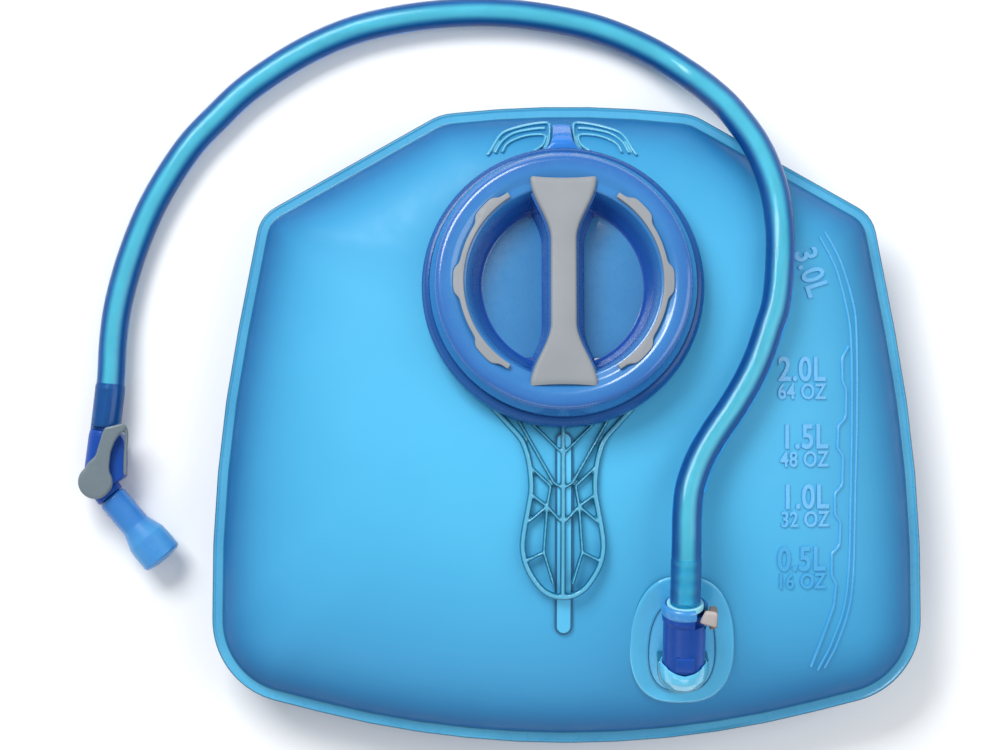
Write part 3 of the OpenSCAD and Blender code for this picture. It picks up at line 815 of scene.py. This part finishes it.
def weld_share(s):
    """1 on the two slim beads of the weld and 0 on the flat between them."""
    return max(math.exp(-(s / 0.75) ** 4), math.exp(-((4.6 - s) / 0.5) ** 4))


place(front_film(), FILM, "film", "bladder", "front_film")
place(back_film(), FILM, "film", "bladder", "back_film")
place(weld_flange(), WELD, "film", "bladder", "perimeter_weld")


def on_film(name, plan, lift, thick):
    """A thin raised shape on the film: a closed plan outline filled with a fine grid of triangles."""
    bm = bmesh.new()
    verts = [bm.verts.new((p[0], p[1], 0)) for p in plan]
    face = bm.faces.new(verts)
    bmesh.ops.triangulate(bm, faces=[face])
    mesh = bpy.data.meshes.new(name)
    bm.to_mesh(mesh)
    bm.free()
    return project(name, mesh, lift, thick)


def project(name, mesh, lift, thick):
    """Lays a flat mesh on the film and gives it a soft-edged thickness."""
    bm = bmesh.new()
    bm.from_mesh(mesh)
    for _ in range(4):
        long = [e for e in bm.edges if e.calc_length() > 2.5 * MM]
        if not long:
            break
        bmesh.ops.subdivide_edges(bm, edges=long, cuts=1)
        bmesh.ops.triangulate(bm, faces=bm.faces)
    co = np.array([v.co[:2] for v in bm.verts])
    for v, h in zip(list(bm.verts), film_surface(co) + lift):
        v.co.z = h
    bm.to_mesh(mesh)
    bm.free()
    piece = bpy.data.objects.new(name, mesh)
    bpy.context.collection.objects.link(piece)
    solid = piece.modifiers.new("solid", "SOLIDIFY")
    solid.thickness = thick
    solid.offset = 0
    apply_modifiers(piece)
    finish_normals(piece, 50)
    return piece


def stadium(x, y0, y1, width):
    """A plan with round ends about y0 and y1."""
    r = width / 2
    line = [(x + r * math.cos(t), y1 + r * math.sin(t)) for t in np.linspace(0, math.pi, 13)]
    line += [(x + r * math.cos(t), y0 + r * math.sin(t)) for t in np.linspace(math.pi, 2 * math.pi, 13)]
    return np.array(line)


baffle_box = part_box("baffle_web")
baffle_x = (baffle_box[0][0] + baffle_box[1][0]) / 2
y_low, y_high = baffle_box[0][1], baffle_box[1][1]
for name, width, lift, material in (("baffle_weld", 5.0, 0.75, BAFFLE), ("baffle_weld_rim", 6.8, 0.45, FILM_EDGE)):
    plan = stadium(baffle_x, y_low + 2.6 * MM, y_high, width * MM)
    place(on_film(name, plan, lift * MM, 0.6 * MM), material, "film", "bladder")
dress(frame["nodes"]["baffle_web"], BAFFLE)


# ---------- Fill port, handle and wings ----------

def handle_z(x, y):
    """Height of the handle along y, in millimetres; it is level from side to side."""
    course = np.array([(8.5, 60.5), (0, 61.6), (-9, 63.3), (-20, 64.2), (-34, 64), (-48, 62.6), (-65, 59.6)])
    return np.interp(y, course[::-1, 0], course[::-1, 1])


RAIL = [(25.8, 7), (20.2, 1), (15.4, -4.6), (13.2, -10.2), (12.1, -16.4), (11.8, -23.4), (13, -31),
        (14.3, -38), (14.9, -44.3), (13.9, -50.2), (11.4, -55.4), (8, -59.9), (4, -62.4), (0, -63)]
RIBS = [
    [(11.6, 1.5), (0.6, -9.3)],
    [(16.5, 2.5), (3.4, -20.6), (0, -22.5)],
    [(11.6, -15), (4.6, -21.7), (5.9, -29.2)],
    [(11.8, -24.8), (5.9, -29.2), (1, -34.5)],
    [(12.6, -34.8), (5.9, -29.2), (7.1, -46.2), (3.6, -58)],
    [(14, -49.6), (7.1, -46.2)],
]


def bar(points, w, z_of):
    """A flat-topped bar with sloping sides; points are [x, y] from the port's middle line, in millimetres."""
    line = np.array([(x, y, 0) for x, y in points])
    if len(points) > 4:
        line = smooth_path(line, 5)
    path = resampled(line, 0.8, closed=False)
    path[:, 0] += PORT_AT.x / MM
    path[:, 2] = np.array([z_of(x, y) for x, y in path[:, :2]])
    top, foot = w / 2 - 0.35, w / 2 + 0.2
    section = [(-foot, -1.1), (foot, -1.1), (foot, -0.4), (top, 1.0), (top - 0.25, 1.15), (0.25 - top, 1.15),
               (-top, 1.0), (-foot, -0.4)]
    return swept("bar", path * MM, np.array(section) * MM)


def fill_handle():
    """A loop with a spine down its middle and ribs on both sides."""
    left = [(-x, y) for x, y in RAIL[:-1]]
    bars = [bar(RAIL + left[::-1], 2.1, handle_z), bar([(0, 2.5), (0, -62.5)], 1.9, handle_z)]
    for side in (-1, 1):
        for line in RIBS:
            bars.append(bar([(side * x, y) for x, y in line], 1.2, handle_z))
    return moulded("handle", bars, 0.32 * MM, 2)


place(fill_handle(), CLEAR, "clear_moulding", "bladder", "fill_handle")


WINGS = [
    [(28.2, 52), (26.7, 54.1), (24, 59), (21.2, 61.7), (13.8, 64.2), (6.6, 65.4), (4.6, 64.2), (4.8, 58),
     (6.4, 54)],
    [(25.2, 52.8), (22.6, 57.6), (18, 61), (11, 62.6), (6.2, 63)],
    [(22.6, 53), (20.4, 56.8), (14.6, 59.6), (8.6, 60.4), (6.2, 59.6), (7.2, 56), (10.5, 53.6)],
]


def port_wings():
    """Two crescents beside the strap, each with an open window towards the ring."""
    def z_of(x, y):
        inside = math.hypot(x - PORT_AT.x / MM, y - PORT_AT.y / MM) < 52.6
        z = film_surface(np.array([[x, y]]) * MM)[0] / MM
        return z + (0.1 if inside else 0.5)

    bars = []
    for side in (-1, 1):
        for line in WINGS:
            world = [(side * x, PORT_AT.y / MM + 0.99 * y - 0.7) for x, y in line]
            bars.append(bar(world, 1.15, z_of))
    return moulded("wings", bars, 0.3 * MM, 1)


place(port_wings(), WING, "clear_moulding", "bladder", "port_wings")
dress(frame["nodes"]["fill_port"], CLEAR)

ring_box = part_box("tether_ring")
RING_R = (ring_box[1][0] - ring_box[0][0]) / 2 / MM


def tether_ring():
    """Channel that holds the cap's skirt and lets it turn."""
    profile = rounded([
        (48.4, 2, 0.4), (51, 2, 0.6), (RING_R, 3.2, 1.2), (RING_R, 8.4, 1.6), (51, 10.3, 1.0),
        (49.8, 10.7, 0.4), (48.5, 10.6, 0.4),
        (48.5, 9.3, 0.2), (49.8, 9.1, 0.2), (49.8, 3.7, 0.2), (48.4, 3.5, 0.2)], step=15)
    return lathe("tether_ring_look", profile * MM, PORT, 192, closed=True)


place(tether_ring(), RING, "ring_blue", "tether", "tether_ring")


def tether_strap():
    """A flat strap from the ring over the port's edge to the weld, flared at both ends."""
    course = smooth_path([(51.6, 6.6), (55, 6.4), (58.6, 2.4), (62.4, -4.8), (65.2, -10.6), (67.6, -16.4)], 6)
    share = np.linspace(0, 1, len(course))
    half_w = 3.3 + 4.2 * np.exp(-share / 0.12) + 0.9 * np.exp(-(1 - share) / 0.12)
    section = rounded([(-1, -1, 0.5), (1, -1, 0.5), (1, 1, 0.5), (-1, 1, 0.5)], step=30)
    rings = []
    for (y, z), w in zip(course, half_w):
        rings.append([PORT @ Vector((sx * w * MM, y * MM, (z + sz * 0.95) * MM)) for sx, sz in section])
    return closed_stack("strap", rings)


strap = tether_strap()
dress(strap, STRAP)
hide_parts("tether_strap")
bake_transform(strap)


# ---------- Cap ----------

GRIP_HALF_LEN = 38.9
DISH_R = 30.4


def grip_half(y):
    """Half the grip's width at y, in millimetres: narrow in the middle, wide at its ends."""
    share = clamp((abs(y) - 15.5) / 23)
    return 4.7 + 7.5 * share * share * (3 - 2 * share)


def cap_shell():
    """Turned shell: a skirt with a groove, a crown and a dish that is closed by its floor."""
    profile = rounded([
        (43.4, 4.6, 0.3), (49.2, 4.6, 0.4), (49.2, 8.4, 0.3), (48, 8.6, 0.2), (48, 11, 0.3),
        (49.2, 11.3, 0.6), (49.2, 14.5, 3.0),
        (46.6, 20.6, 3.0), (41.5, 20.6, 3.5), (38.6, 19.0, 3.0), (35.6, 18.6, 1.5),
        (33.4, 11, 6), (30.6, 5.2, 3.4), (0, 5.2, 0)], closed=False, step=10)
    under = np.array([(0, 3), (33.6, 3), (36.5, 6.5), (36.5, 14.6), (43.4, 14.6)])
    return lathe("cap_look", np.concatenate([profile, under, profile[:1]]) * MM, PORT, 192)


def cap_web():
    """The wall under the grip: hourglass in plan, spreading to the dish's floor."""
    rings = []
    for z in np.linspace(4.6, 17.4, 12):
        spread = 0.9 + 2.6 * (1 - (z - 4.6) / 12.8) ** 2.6
        reach = 34.4 + 1.2 * (z - 4.6) / 12.8
        ys = np.linspace(-1, 1, 33)
        y = ys * reach
        limit = np.sqrt(np.maximum(reach ** 2 - y ** 2, 0)) + 0.4
        half_w = np.minimum(np.array([grip_half(v) for v in y]) + spread, limit)
        line = [(w, v) for w, v in zip(half_w, y)] + [(-w, v) for w, v in zip(half_w[::-1], y[::-1])]
        rings.append([(px * MM, py * MM, z * MM) for px, py in line])
    return closed_stack("cap_web", rings, PORT)


def cap_grip():
    """Soft grip: crowned across, turned down over the rim at both ends."""
    ys = np.linspace(-GRIP_HALF_LEN, GRIP_HALF_LEN, 81)
    across = np.linspace(-1, 1, 25)
    top = []
    for y in ys:
        w = grip_half(y)
        end = max(0.0, (abs(y) - 36) / 2.9)
        crown_z = 20.9 - 0.6 * min(1, end) ** 3
        for a in across:
            edge = max(0.0, (abs(a) * w - (w - 1.1)) / 1.1)
            dip = 0.5 * (1 - a * a) * min(1, (1 - abs(y) / GRIP_HALF_LEN) * 3)
            z = crown_z + dip - 0.8 * (1 - math.sqrt(max(0, 1 - min(1, edge) ** 2)))
            hollow = 0.7 * (1 - a * a) * min(1, end) * math.copysign(1, y)
            top.append((a * w, y - hollow, z))
    verts = top + [(x, y, 17.3) for x, y, z in top]
    rows, n, count = len(ys), len(across), len(top)
    sheet = grid(rows, n, wrap_cols=False)
    faces = sheet + [(a + count, d + count, c + count, b + count) for a, b, c, d in sheet]
    rim = [r * n for r in range(rows)] + [(rows - 1) * n + c for c in range(1, n)]
    rim += [r * n + n - 1 for r in range(rows - 2, -1, -1)] + list(range(n - 2, 0, -1))
    faces += [(a, b, b + count, a + count) for a, b in zip(rim, rim[1:] + rim[:1])]
    return add_mesh("grip", np.array(verts) * MM, faces, PORT, sharp=55)


def inlay(name, side):
    """Crescent inlay with three raised bumps on its outer edge."""
    angles = np.linspace(-58, 58, 96)

    def outer(a):
        high = max(1 / (1 + math.exp(-(8 - abs(a - c)) * 1.1)) for c in (-43, 0, 43))
        return 38.6 + 1.9 * high

    line = [(outer(a), a) for a in angles] + [(36.6, a) for a in angles[::-1]]
    turn = 0 if side > 0 else 180
    polar = [(r * MM, math.radians(a + turn)) for r, a in line]
    plan = [(r * math.cos(a), r * math.sin(a)) for r, a in polar]
    return plate(name, plan, 18.3 * MM, 20.75 * MM, PORT, bevel=0.35 * MM)


def paint_cap_shade(piece):
    """Writes where shade is painted on the cap: down the walls of its pockets and out towards its skirt."""
    back = PORT.inverted()
    values = []
    for v in piece.data.vertices:
        p = back @ v.co
        r = math.hypot(p.x, p.y) / MM
        # painted shade down the pocket walls and, more lightly, out towards the skirt
        pocket = clamp((36.6 - r) / 2.2) * clamp((18.9 - p.z / MM) / 2.5)
        skirt = clamp((r - 40.5) / 5.5) * 0.55
        values.append(max(pocket, skirt))
    write_shares(piece, "painted_shade", values)
    return piece


def dish_floor(side):
    """The paler floor of one pocket beside the grip."""
    ys = np.linspace(-0.97, 0.97, 41) * DISH_R
    outer = [(math.sqrt(DISH_R ** 2 - y * y), y) for y in ys]
    inner = [(grip_half(y) + 3.0, y) for y in ys[::-1]]
    plan = [(max(a, b), y) for (a, y), b in zip(outer, [grip_half(y) + 3.0 for y in ys])] + inner
    keep = [(side * x * MM, y * MM) for x, y in rounded_plan(plan)]
    return plate("dish", keep, 4.9 * MM, 5.5 * MM, PORT, bevel=0.25 * MM)


def rounded_plan(plan):
    """Drops the points of a plan's sharp corners, where its two sides are under 2 mm apart."""
    n = len(plan) // 2
    pairs = [(plan[i], plan[2 * n - 1 - i]) for i in range(n)]
    pairs = [(a, b) for a, b in pairs if a[0] - b[0] > 2]
    return [a for a, _ in pairs] + [b for _, b in reversed(pairs)]


place(paint_cap_shade(join("cap_look_whole", [cap_shell(), cap_web()])), CAP, "cap_blue", "cap", "cap_shell")
place(join("cap_dishes", [dish_floor(1), dish_floor(-1)]), DISH, "cap_blue", "cap")
place(cap_grip(), GRIP, "grip_grey", "cap", "cap_grip")
for name, side in (("inlay_left", -1), ("inlay_right", 1)):
    place(inlay(name, side), GRIP, "grip_grey", "cap", "cap_" + name)
dress(frame["nodes"]["cap_seal"], SEAL)


# ---------- Hose port ----------

def egg(w, l, n=72):
    """Oval with fairly straight sides, a little narrower at the hose's end."""
    t = np.linspace(0, 2 * math.pi, n, endpoint=False)
    x = np.sign(np.cos(t)) * abs(np.cos(t)) ** 0.74
    y = np.sign(np.sin(t)) * abs(np.sin(t)) ** 0.86
    return np.column_stack([w / 2 * x * (1 - 0.07 * y), l / 2 * y]) * MM


def outlet_base():
    """Oval plate that is welded to the film."""
    disc = plate("disc", egg(39.4, 53.0), -1.2 * MM, 1.2 * MM, OUTLET, bevel=0.9 * MM)
    return moulded("outlet_base_look", [disc], 0.4 * MM, 2)


def pocket_rim():
    """Raised rim round the socket's pocket."""
    rim = resampled(egg(25.4, 38.6), 1 * MM)
    path = np.array([OUTLET @ Vector((x, y - 2 * MM, 1.45 * MM)) for x, y in rim])
    rings = section_rings(np.vstack([path, path[:2]]), circle(0.42 * MM, 10))[:-2]
    return add_mesh("pocket_rim", rings.reshape(-1, 3), grid(len(rings), 10, wrap_rows=True), sharp=180)


def outlet_boss():
    """U-shaped wall round the socket's key."""
    t = np.linspace(math.pi, 2 * math.pi, 25)
    outer = [(9.6 * math.cos(a), -8 + 9.4 * math.sin(a)) for a in t] + [(9.6, -3.8)]
    inner = [(6.4, -3.8)] + [(6.4 * math.cos(a), -8 + 5.8 * math.sin(a)) for a in t[::-1]]
    inner += [(-6.4, -3.8), (-9.6, -3.8)]
    wall = plate("wall", np.array(outer + inner) * MM, 1.2 * MM, 10.6 * MM, OUTLET, bevel=0.6 * MM)
    return moulded("outlet_boss_look", [wall], 0.4 * MM, 4)


place(outlet_base(), BASE, "clear_moulding", "bladder", "outlet_base")
floor_plan = egg(24.6, 37.8) - np.array([0, 2 * MM])
pocket_floor = plate("pocket", floor_plan, 0.9 * MM, 1.45 * MM, OUTLET, bevel=0.2 * MM)
place(pocket_floor, POCKET, "clear_moulding", "bladder")
place(pocket_rim(), RIM_LINE, "clear_moulding", "bladder")
place(outlet_boss(), CLEAR, "clear_moulding", "bladder", "outlet_boss")


def socket_shell():
    """Turned sleeve with a bore for the plug and a stepped nose."""
    profile = rounded([
        (2.6, -13.2, 0.2), (3.8, -13.2, 0.5), (3.8, -10.4, 0.4), (5.4, -10.2, 0.6), (5.4, -6.0, 0.4),
        (7.9, -5.6, 1.2), (7.9, 13.6, 0.3), (8.3, 14, 0.3),
        (8.5, 15, 0.6), (8.5, 16.6, 0.3), (7.2, 16.6, 0.1), (5, 16.5, 0.1),
        (5, 0, 0.1), (3, 0, 0.1), (3, -0.6, 0.1), (4.3, -0.6, 0.1), (4.3, -8.4, 0.2), (2.6, -8.4, 0.2)], step=15)
    return lathe("socket_look", profile * MM, SOCKET @ ALONG_Y, 96, closed=True)


def socket_collar():
    """Rounded collar round the socket's mouth, open where the button's thumb rest moves."""
    profile = rounded([(7.25, 16.6, 0.1), (8.5, 16.6, 0.2), (8.75, 17.6, 0.8), (8.7, 19.6, 1.0),
                       (8.0, 20.7, 0.9), (7.2, 20.5, 0.4)], step=12)
    rings = []
    for a in np.radians(np.linspace(64, 349, 80)):
        rings.append([SOCKET @ Vector((r * math.cos(a), y, r * math.sin(a))) for r, y in profile * MM])
    return closed_stack("collar", rings, sharp=40)


def socket_cup():
    """Clear cup round the socket's closed end, open towards the hose."""
    profile = rounded([
        (3.9, -13.4, 0.3), (5.4, -13.2, 1.5), (8.2, -9.6, 2), (8.7, -6.6, 1), (8.7, -3.2, 0.4),
        (8.05, -3.2, 0.2), (8.05, -6.1, 0.8), (5.6, -6.6, 0.2), (5.5, -10.4, 0.3), (3.9, -10.6, 0.1)], step=12)
    cup = lathe("cup", profile * MM, SOCKET @ ALONG_Y, 96, closed=True)
    back = SOCKET.inverted()
    for v in cup.data.vertices:
        p = back @ v.co
        if p.y > -6 * MM:
            p.y -= 2.4 * MM * max(0.0, 1 - abs(p.x) / (6.6 * MM)) ** 0.5 * (p.y + 6 * MM) / (2.8 * MM)
            v.co = SOCKET @ p
    return cup


def box_plan(x0, y0, x1, y1):
    """Corners of a rectangle given in millimetres."""
    return np.array([(x0, y0), (x1, y0), (x1, y1), (x0, y1)]) * MM


def socket_key():
    """Flat key on the lower half of the socket that fits the clear boss."""
    return plate("key", box_plan(-3.4, -4.2, 3.4, 1.6), 6.4 * MM, 8.4 * MM, SOCKET, bevel=0.6 * MM)


def button_room(piece):
    """Cuts the recess that the release button, its thumb rest and its stem press into."""
    recesses = (
        ((7.1, 11.2, -1.4), (13, 19.8, 5.4)),
        ((3.3, 13, 4.4), (13, 22, 8)),
        ((5.5, 15.1, -0.8), (13, 17.9, 3.8)),
    )
    for (x0, y0, z0), (x1, y1, z1) in recesses:
        cutter = plate("cutter", box_plan(x0, y0, x1, y1), z0 * MM, z1 * MM, SOCKET)
        cut = piece.modifiers.new("recess", "BOOLEAN")
        cut.operation = "DIFFERENCE"
        cut.solver = "EXACT"
        cut.object = cutter
        apply_modifiers(piece)
        bpy.data.objects.remove(cutter)
    finish_normals(piece)
    return piece


socket_whole = join("socket_whole", [button_room(socket_shell()), socket_key()])
place(socket_whole, SOCKET_BLUE, "socket_blue", "bladder", "quick_link_socket")
place(socket_collar(), COLLAR_BLUE, "socket_blue", "bladder")
place(socket_cup(), CUP, "clear_moulding", "bladder")


def release_button():
    """Side cap and stem in a darker tan than the thumb rest on top, painted shade and reflection of the button's
    side.
    """
    side_plan = np.array([(8.8, 11.6), (11.7, 12.2), (11.9, 18.9), (8.9, 19.3)]) * MM
    thumb_plan = np.array([(4.8, 15.4), (11.3, 13.4), (11.6, 19.4), (7.2, 20.2)]) * MM
    side = plate("side", side_plan, -1 * MM, 5.0 * MM, SOCKET, bevel=0.9 * MM)
    thumb = plate("thumb", thumb_plan, 4.6 * MM, 7.0 * MM, SOCKET, bevel=1.0 * MM)
    stem = plate("stem", box_plan(7.0, 15.4, 9.2, 17.6), -0.5 * MM, 3.5 * MM, SOCKET, bevel=0.3 * MM)
    leg_faces = len(side.data.polygons) + len(stem.data.polygons)
    return join("button_look", [side, stem, thumb]), leg_faces


button, leg_faces = release_button()
# the side cap and stem take the button's painted side shade
place_mixed(button, (BUTTON, BUTTON_SIDE_SHADE), lambda face: int(face < leg_faces),
            "button", "release_button")
dress(frame["nodes"]["socket_seal"], SEAL)
dress(frame["nodes"]["check_poppet"], CLEAR)
dress(frame["nodes"]["button_spring"], STEEL)
dress(frame["nodes"]["poppet_spring"], STEEL)
plug = dress(frame["nodes"]["quick_link_plug"], BARB)


# ---------- Valve, lever and bite valve ----------

def turned(name, corners, matrix, sides, step=12):
    """A solid turned from [radius, height, corner radius] points in millimetres."""
    return lathe(name, rounded(corners, closed=False, step=step) * MM, matrix, sides)


def valve_body():
    """Barrel on the hose, with a barb inside it, a hub for the rotor, a spout and a housing."""
    barrel = turned("barrel", [(0, -2, 0), (6.0, -2, 1.5), (6.2, 17.5, 0.6), (5.9, 19.9, 0.8), (0, 19.9, 0)],
                    INLET @ ALONG_Y, 64)
    barbs = [(0, 19.8)]
    for k in range(3):
        barbs += [(3.9, 20 + k * 5.6), (3.1, 25.4 + k * 5.6)]
    barb = lathe("barb", np.array(barbs + [(0, 36.8)]) * MM, INLET @ ALONG_Y, 48)
    hub = turned("hub", [(0, -6.2, 0), (6.2, -6.2, 1.6), (6.2, 6.1, 1.0), (0, 6.1, 0)], VALVE, 64)
    spout = turned("spout", [(0, 0, 0), (5.7, 0, 0), (5.7, 7.6, 0.6), (3.6, 7.7, 0.2), (3.6, 20, 0.4), (0, 20, 0)],
                   MOUTHPIECE @ ALONG_Y, 64, step=15)
    housing_plan = rounded([(-2, -3, 1), (5, -2, 1), (10.6, 1.5, 2), (10.9, 10, 6), (10.7, 16, 4),
                            (9, 18.4, 1.5), (3, 18.6, 1), (0, 10, 1)], step=15) * MM
    housing = plate("housing", housing_plan, -5.2 * MM, 5.2 * MM, VALVE, bevel=1.6 * MM, segments=5)
    return join("valve_look", [barrel, barb, hub, spout, housing])


valve = place(valve_body(), SOCKET_BLUE, "socket_blue", "hose", "valve_body")
dress(frame["nodes"]["valve_rotor"], LEVER)
dress(frame["nodes"]["rotor_seals"], SEAL)
LEVER_Z = 6.6         # the lever's underside, in millimetres above the valve's axis


def valve_lever():
    """Disc with a curved arm and a raised bead along its outer edge."""
    disc = turned("disc", [(0, LEVER_Z, 0), (6.7, LEVER_Z, 0.6), (6.7, LEVER_Z + 2.8, 1.3), (0, LEVER_Z + 3.0, 0)],
                  VALVE, 64)
    arm_plan = rounded([
        (-5, 3.4, 1), (-2.7, 7.4, 3), (0.2, 10, 4), (2.5, 17.7, 3), (3.7, 21.0, 1.6), (7.6, 21.9, 3),
        (10.6, 22.8, 1), (12.6, 21.4, 1), (11.1, 19.4, 0.5), (9.6, 18.7, 0.8), (7.6, 15.6, 2), (6, 11.5, 3),
        (5.4, 5.9, 2), (5.8, 2, 1)], step=15) * MM
    arm = plate("arm", arm_plan, LEVER_Z * MM, (LEVER_Z + 2.8) * MM, VALVE, bevel=0.8 * MM, segments=4)
    rim = smooth_path([(11, 21.4, LEVER_Z + 1.5), (12, 20.2, LEVER_Z + 1.4), (12.1, 16.7, LEVER_Z + 1.1),
                       (11.6, 10, LEVER_Z + 0.9), (11.5, 2.6, LEVER_Z + 0.8)], 5) * MM
    bead = swept("bead", rim, circle(0.75 * MM, 12), matrix=VALVE)
    return moulded("lever_look", [disc, arm, bead], 0.35 * MM, 3)


lever = place(valve_lever(), LEVER, "lever_grey", "lever", "valve_lever")


def bite_valve():
    """Soft sleeve, round on the valve and a flat oval at the lips."""
    corners = [(3.65, 8, 0.2), (5.2, 8, 0.6), (5.8, 9, 1), (5.75, 22.8, 3), (8.0, 29.2, 2), (8.2, 32, 2),
               (8.2, 39.2, 1.3), (4, 40.1, 6), (0, 40.3, 0)]
    lips = turned("bite_look", corners, ALONG_Y, 96, step=8)
    write_shares(lips, "neck", [clamp((27 - v.co.y / MM) / 9) * 0.8 for v in lips.data.vertices])
    for v in lips.data.vertices:
        v.co.z *= 1 - 0.16 * clamp((v.co.y / MM - 23) / 9)
        if v.co.y / MM > 39.3:
            v.co.y -= 0.9 * MM * math.exp(-(v.co.z / (0.7 * MM)) ** 2) * (abs(v.co.x) < 5.5 * MM)
    lips.data.transform(MOUTHPIECE)
    lips.data.update()
    return lips


bite = place(bite_valve(), BITE, "bite_blue", "bite", "bite_valve")


# ---------- Level scale ----------

def scale_text(name, words, x, y, size, turn):
    """Raised letters on the film."""
    curve = bpy.data.curves.new(name, "FONT")
    curve.body = words
    curve.size = size
    curve.align_x = "CENTER"
    curve.align_y = "CENTER"
    curve.space_character = 1.05
    curve.offset = 0.02 * size
    sign = bpy.data.objects.new(name, curve)
    bpy.context.collection.objects.link(sign)
    bpy.context.view_layer.update()
    mesh = bpy.data.meshes.new_from_object(sign)
    bpy.data.objects.remove(sign)
    condensed = Matrix.Diagonal((0.82, 1, 1, 1))
    mesh.transform(Matrix.Translation((x, y, 0)) @ Matrix.Rotation(turn, 4, "Z") @ condensed)
    return project(name, mesh, 0.35 * MM, 0.5 * MM)


def level_line():
    """Two smooth raised lines beside the marks, and a third that is stepped in at each level."""
    outer = [(97, 73.4), (103, 62.5), (107.6, 48), (109.1, 36), (108.8, 5), (107.9, -24), (106.6, -62),
             (102.3, -80), (97.4, -91.7)]
    middle = [(94.8, 71.5), (101.2, 59.5), (105.4, 44), (106.8, 32), (106.7, 5), (106.1, -24),
              (104.7, -62), (100, -80.4), (94.8, -92.5)]
    stepped = [(105.6, 30), (103, 25.6), (103, 16.6), (104.5, 13.6), (104.2, 3.1), (101.2, 0.1), (100.8, -8.2),
               (103, -11.2), (102.7, -22.1), (99.7, -25.1), (99.7, -33), (101.9, -36), (101.5, -44.7),
               (98.5, -47.7), (98.5, -56), (100.4, -59), (99.7, -67.6), (92.1, -91)]
    beads = []
    for points, r, smooth in ((outer, 0.5, True), (middle, 0.5, True), (stepped, 0.6, False)):
        line = np.array([(x, y, 0) for x, y in points])
        if smooth:
            line = smooth_path(line, 6)
        path = resampled(line, 1.5, closed=False) * MM
        path[:, 2] = film_surface(path[:, :2]) + 0.1 * MM
        beads.append(swept("bead", path, circle(r * MM, 10)))
    return join("level_line", beads)


marks = [("3.0L", "", 91, 58, -1.25), ("2.0L", "64 OZ", 87, 21, 0), ("1.5L", "48 OZ", 87.8, -4.2, 0),
         ("1.0L", "32 OZ", 88, -26.6, 0), ("0.5L", "16 OZ", 86.8, -49.8, 0)]
signs = []
for litres, ounces, x, y, turn in marks:
    signs.append(scale_text("mark", litres, x * MM, y * MM, 12.6 * MM, turn))
    if ounces:
        signs.append(scale_text("mark", ounces, x * MM, (y - 8.2) * MM, 8 * MM, turn))
place(join("level_marks", signs + [level_line()]), MARK, "film", "bladder")
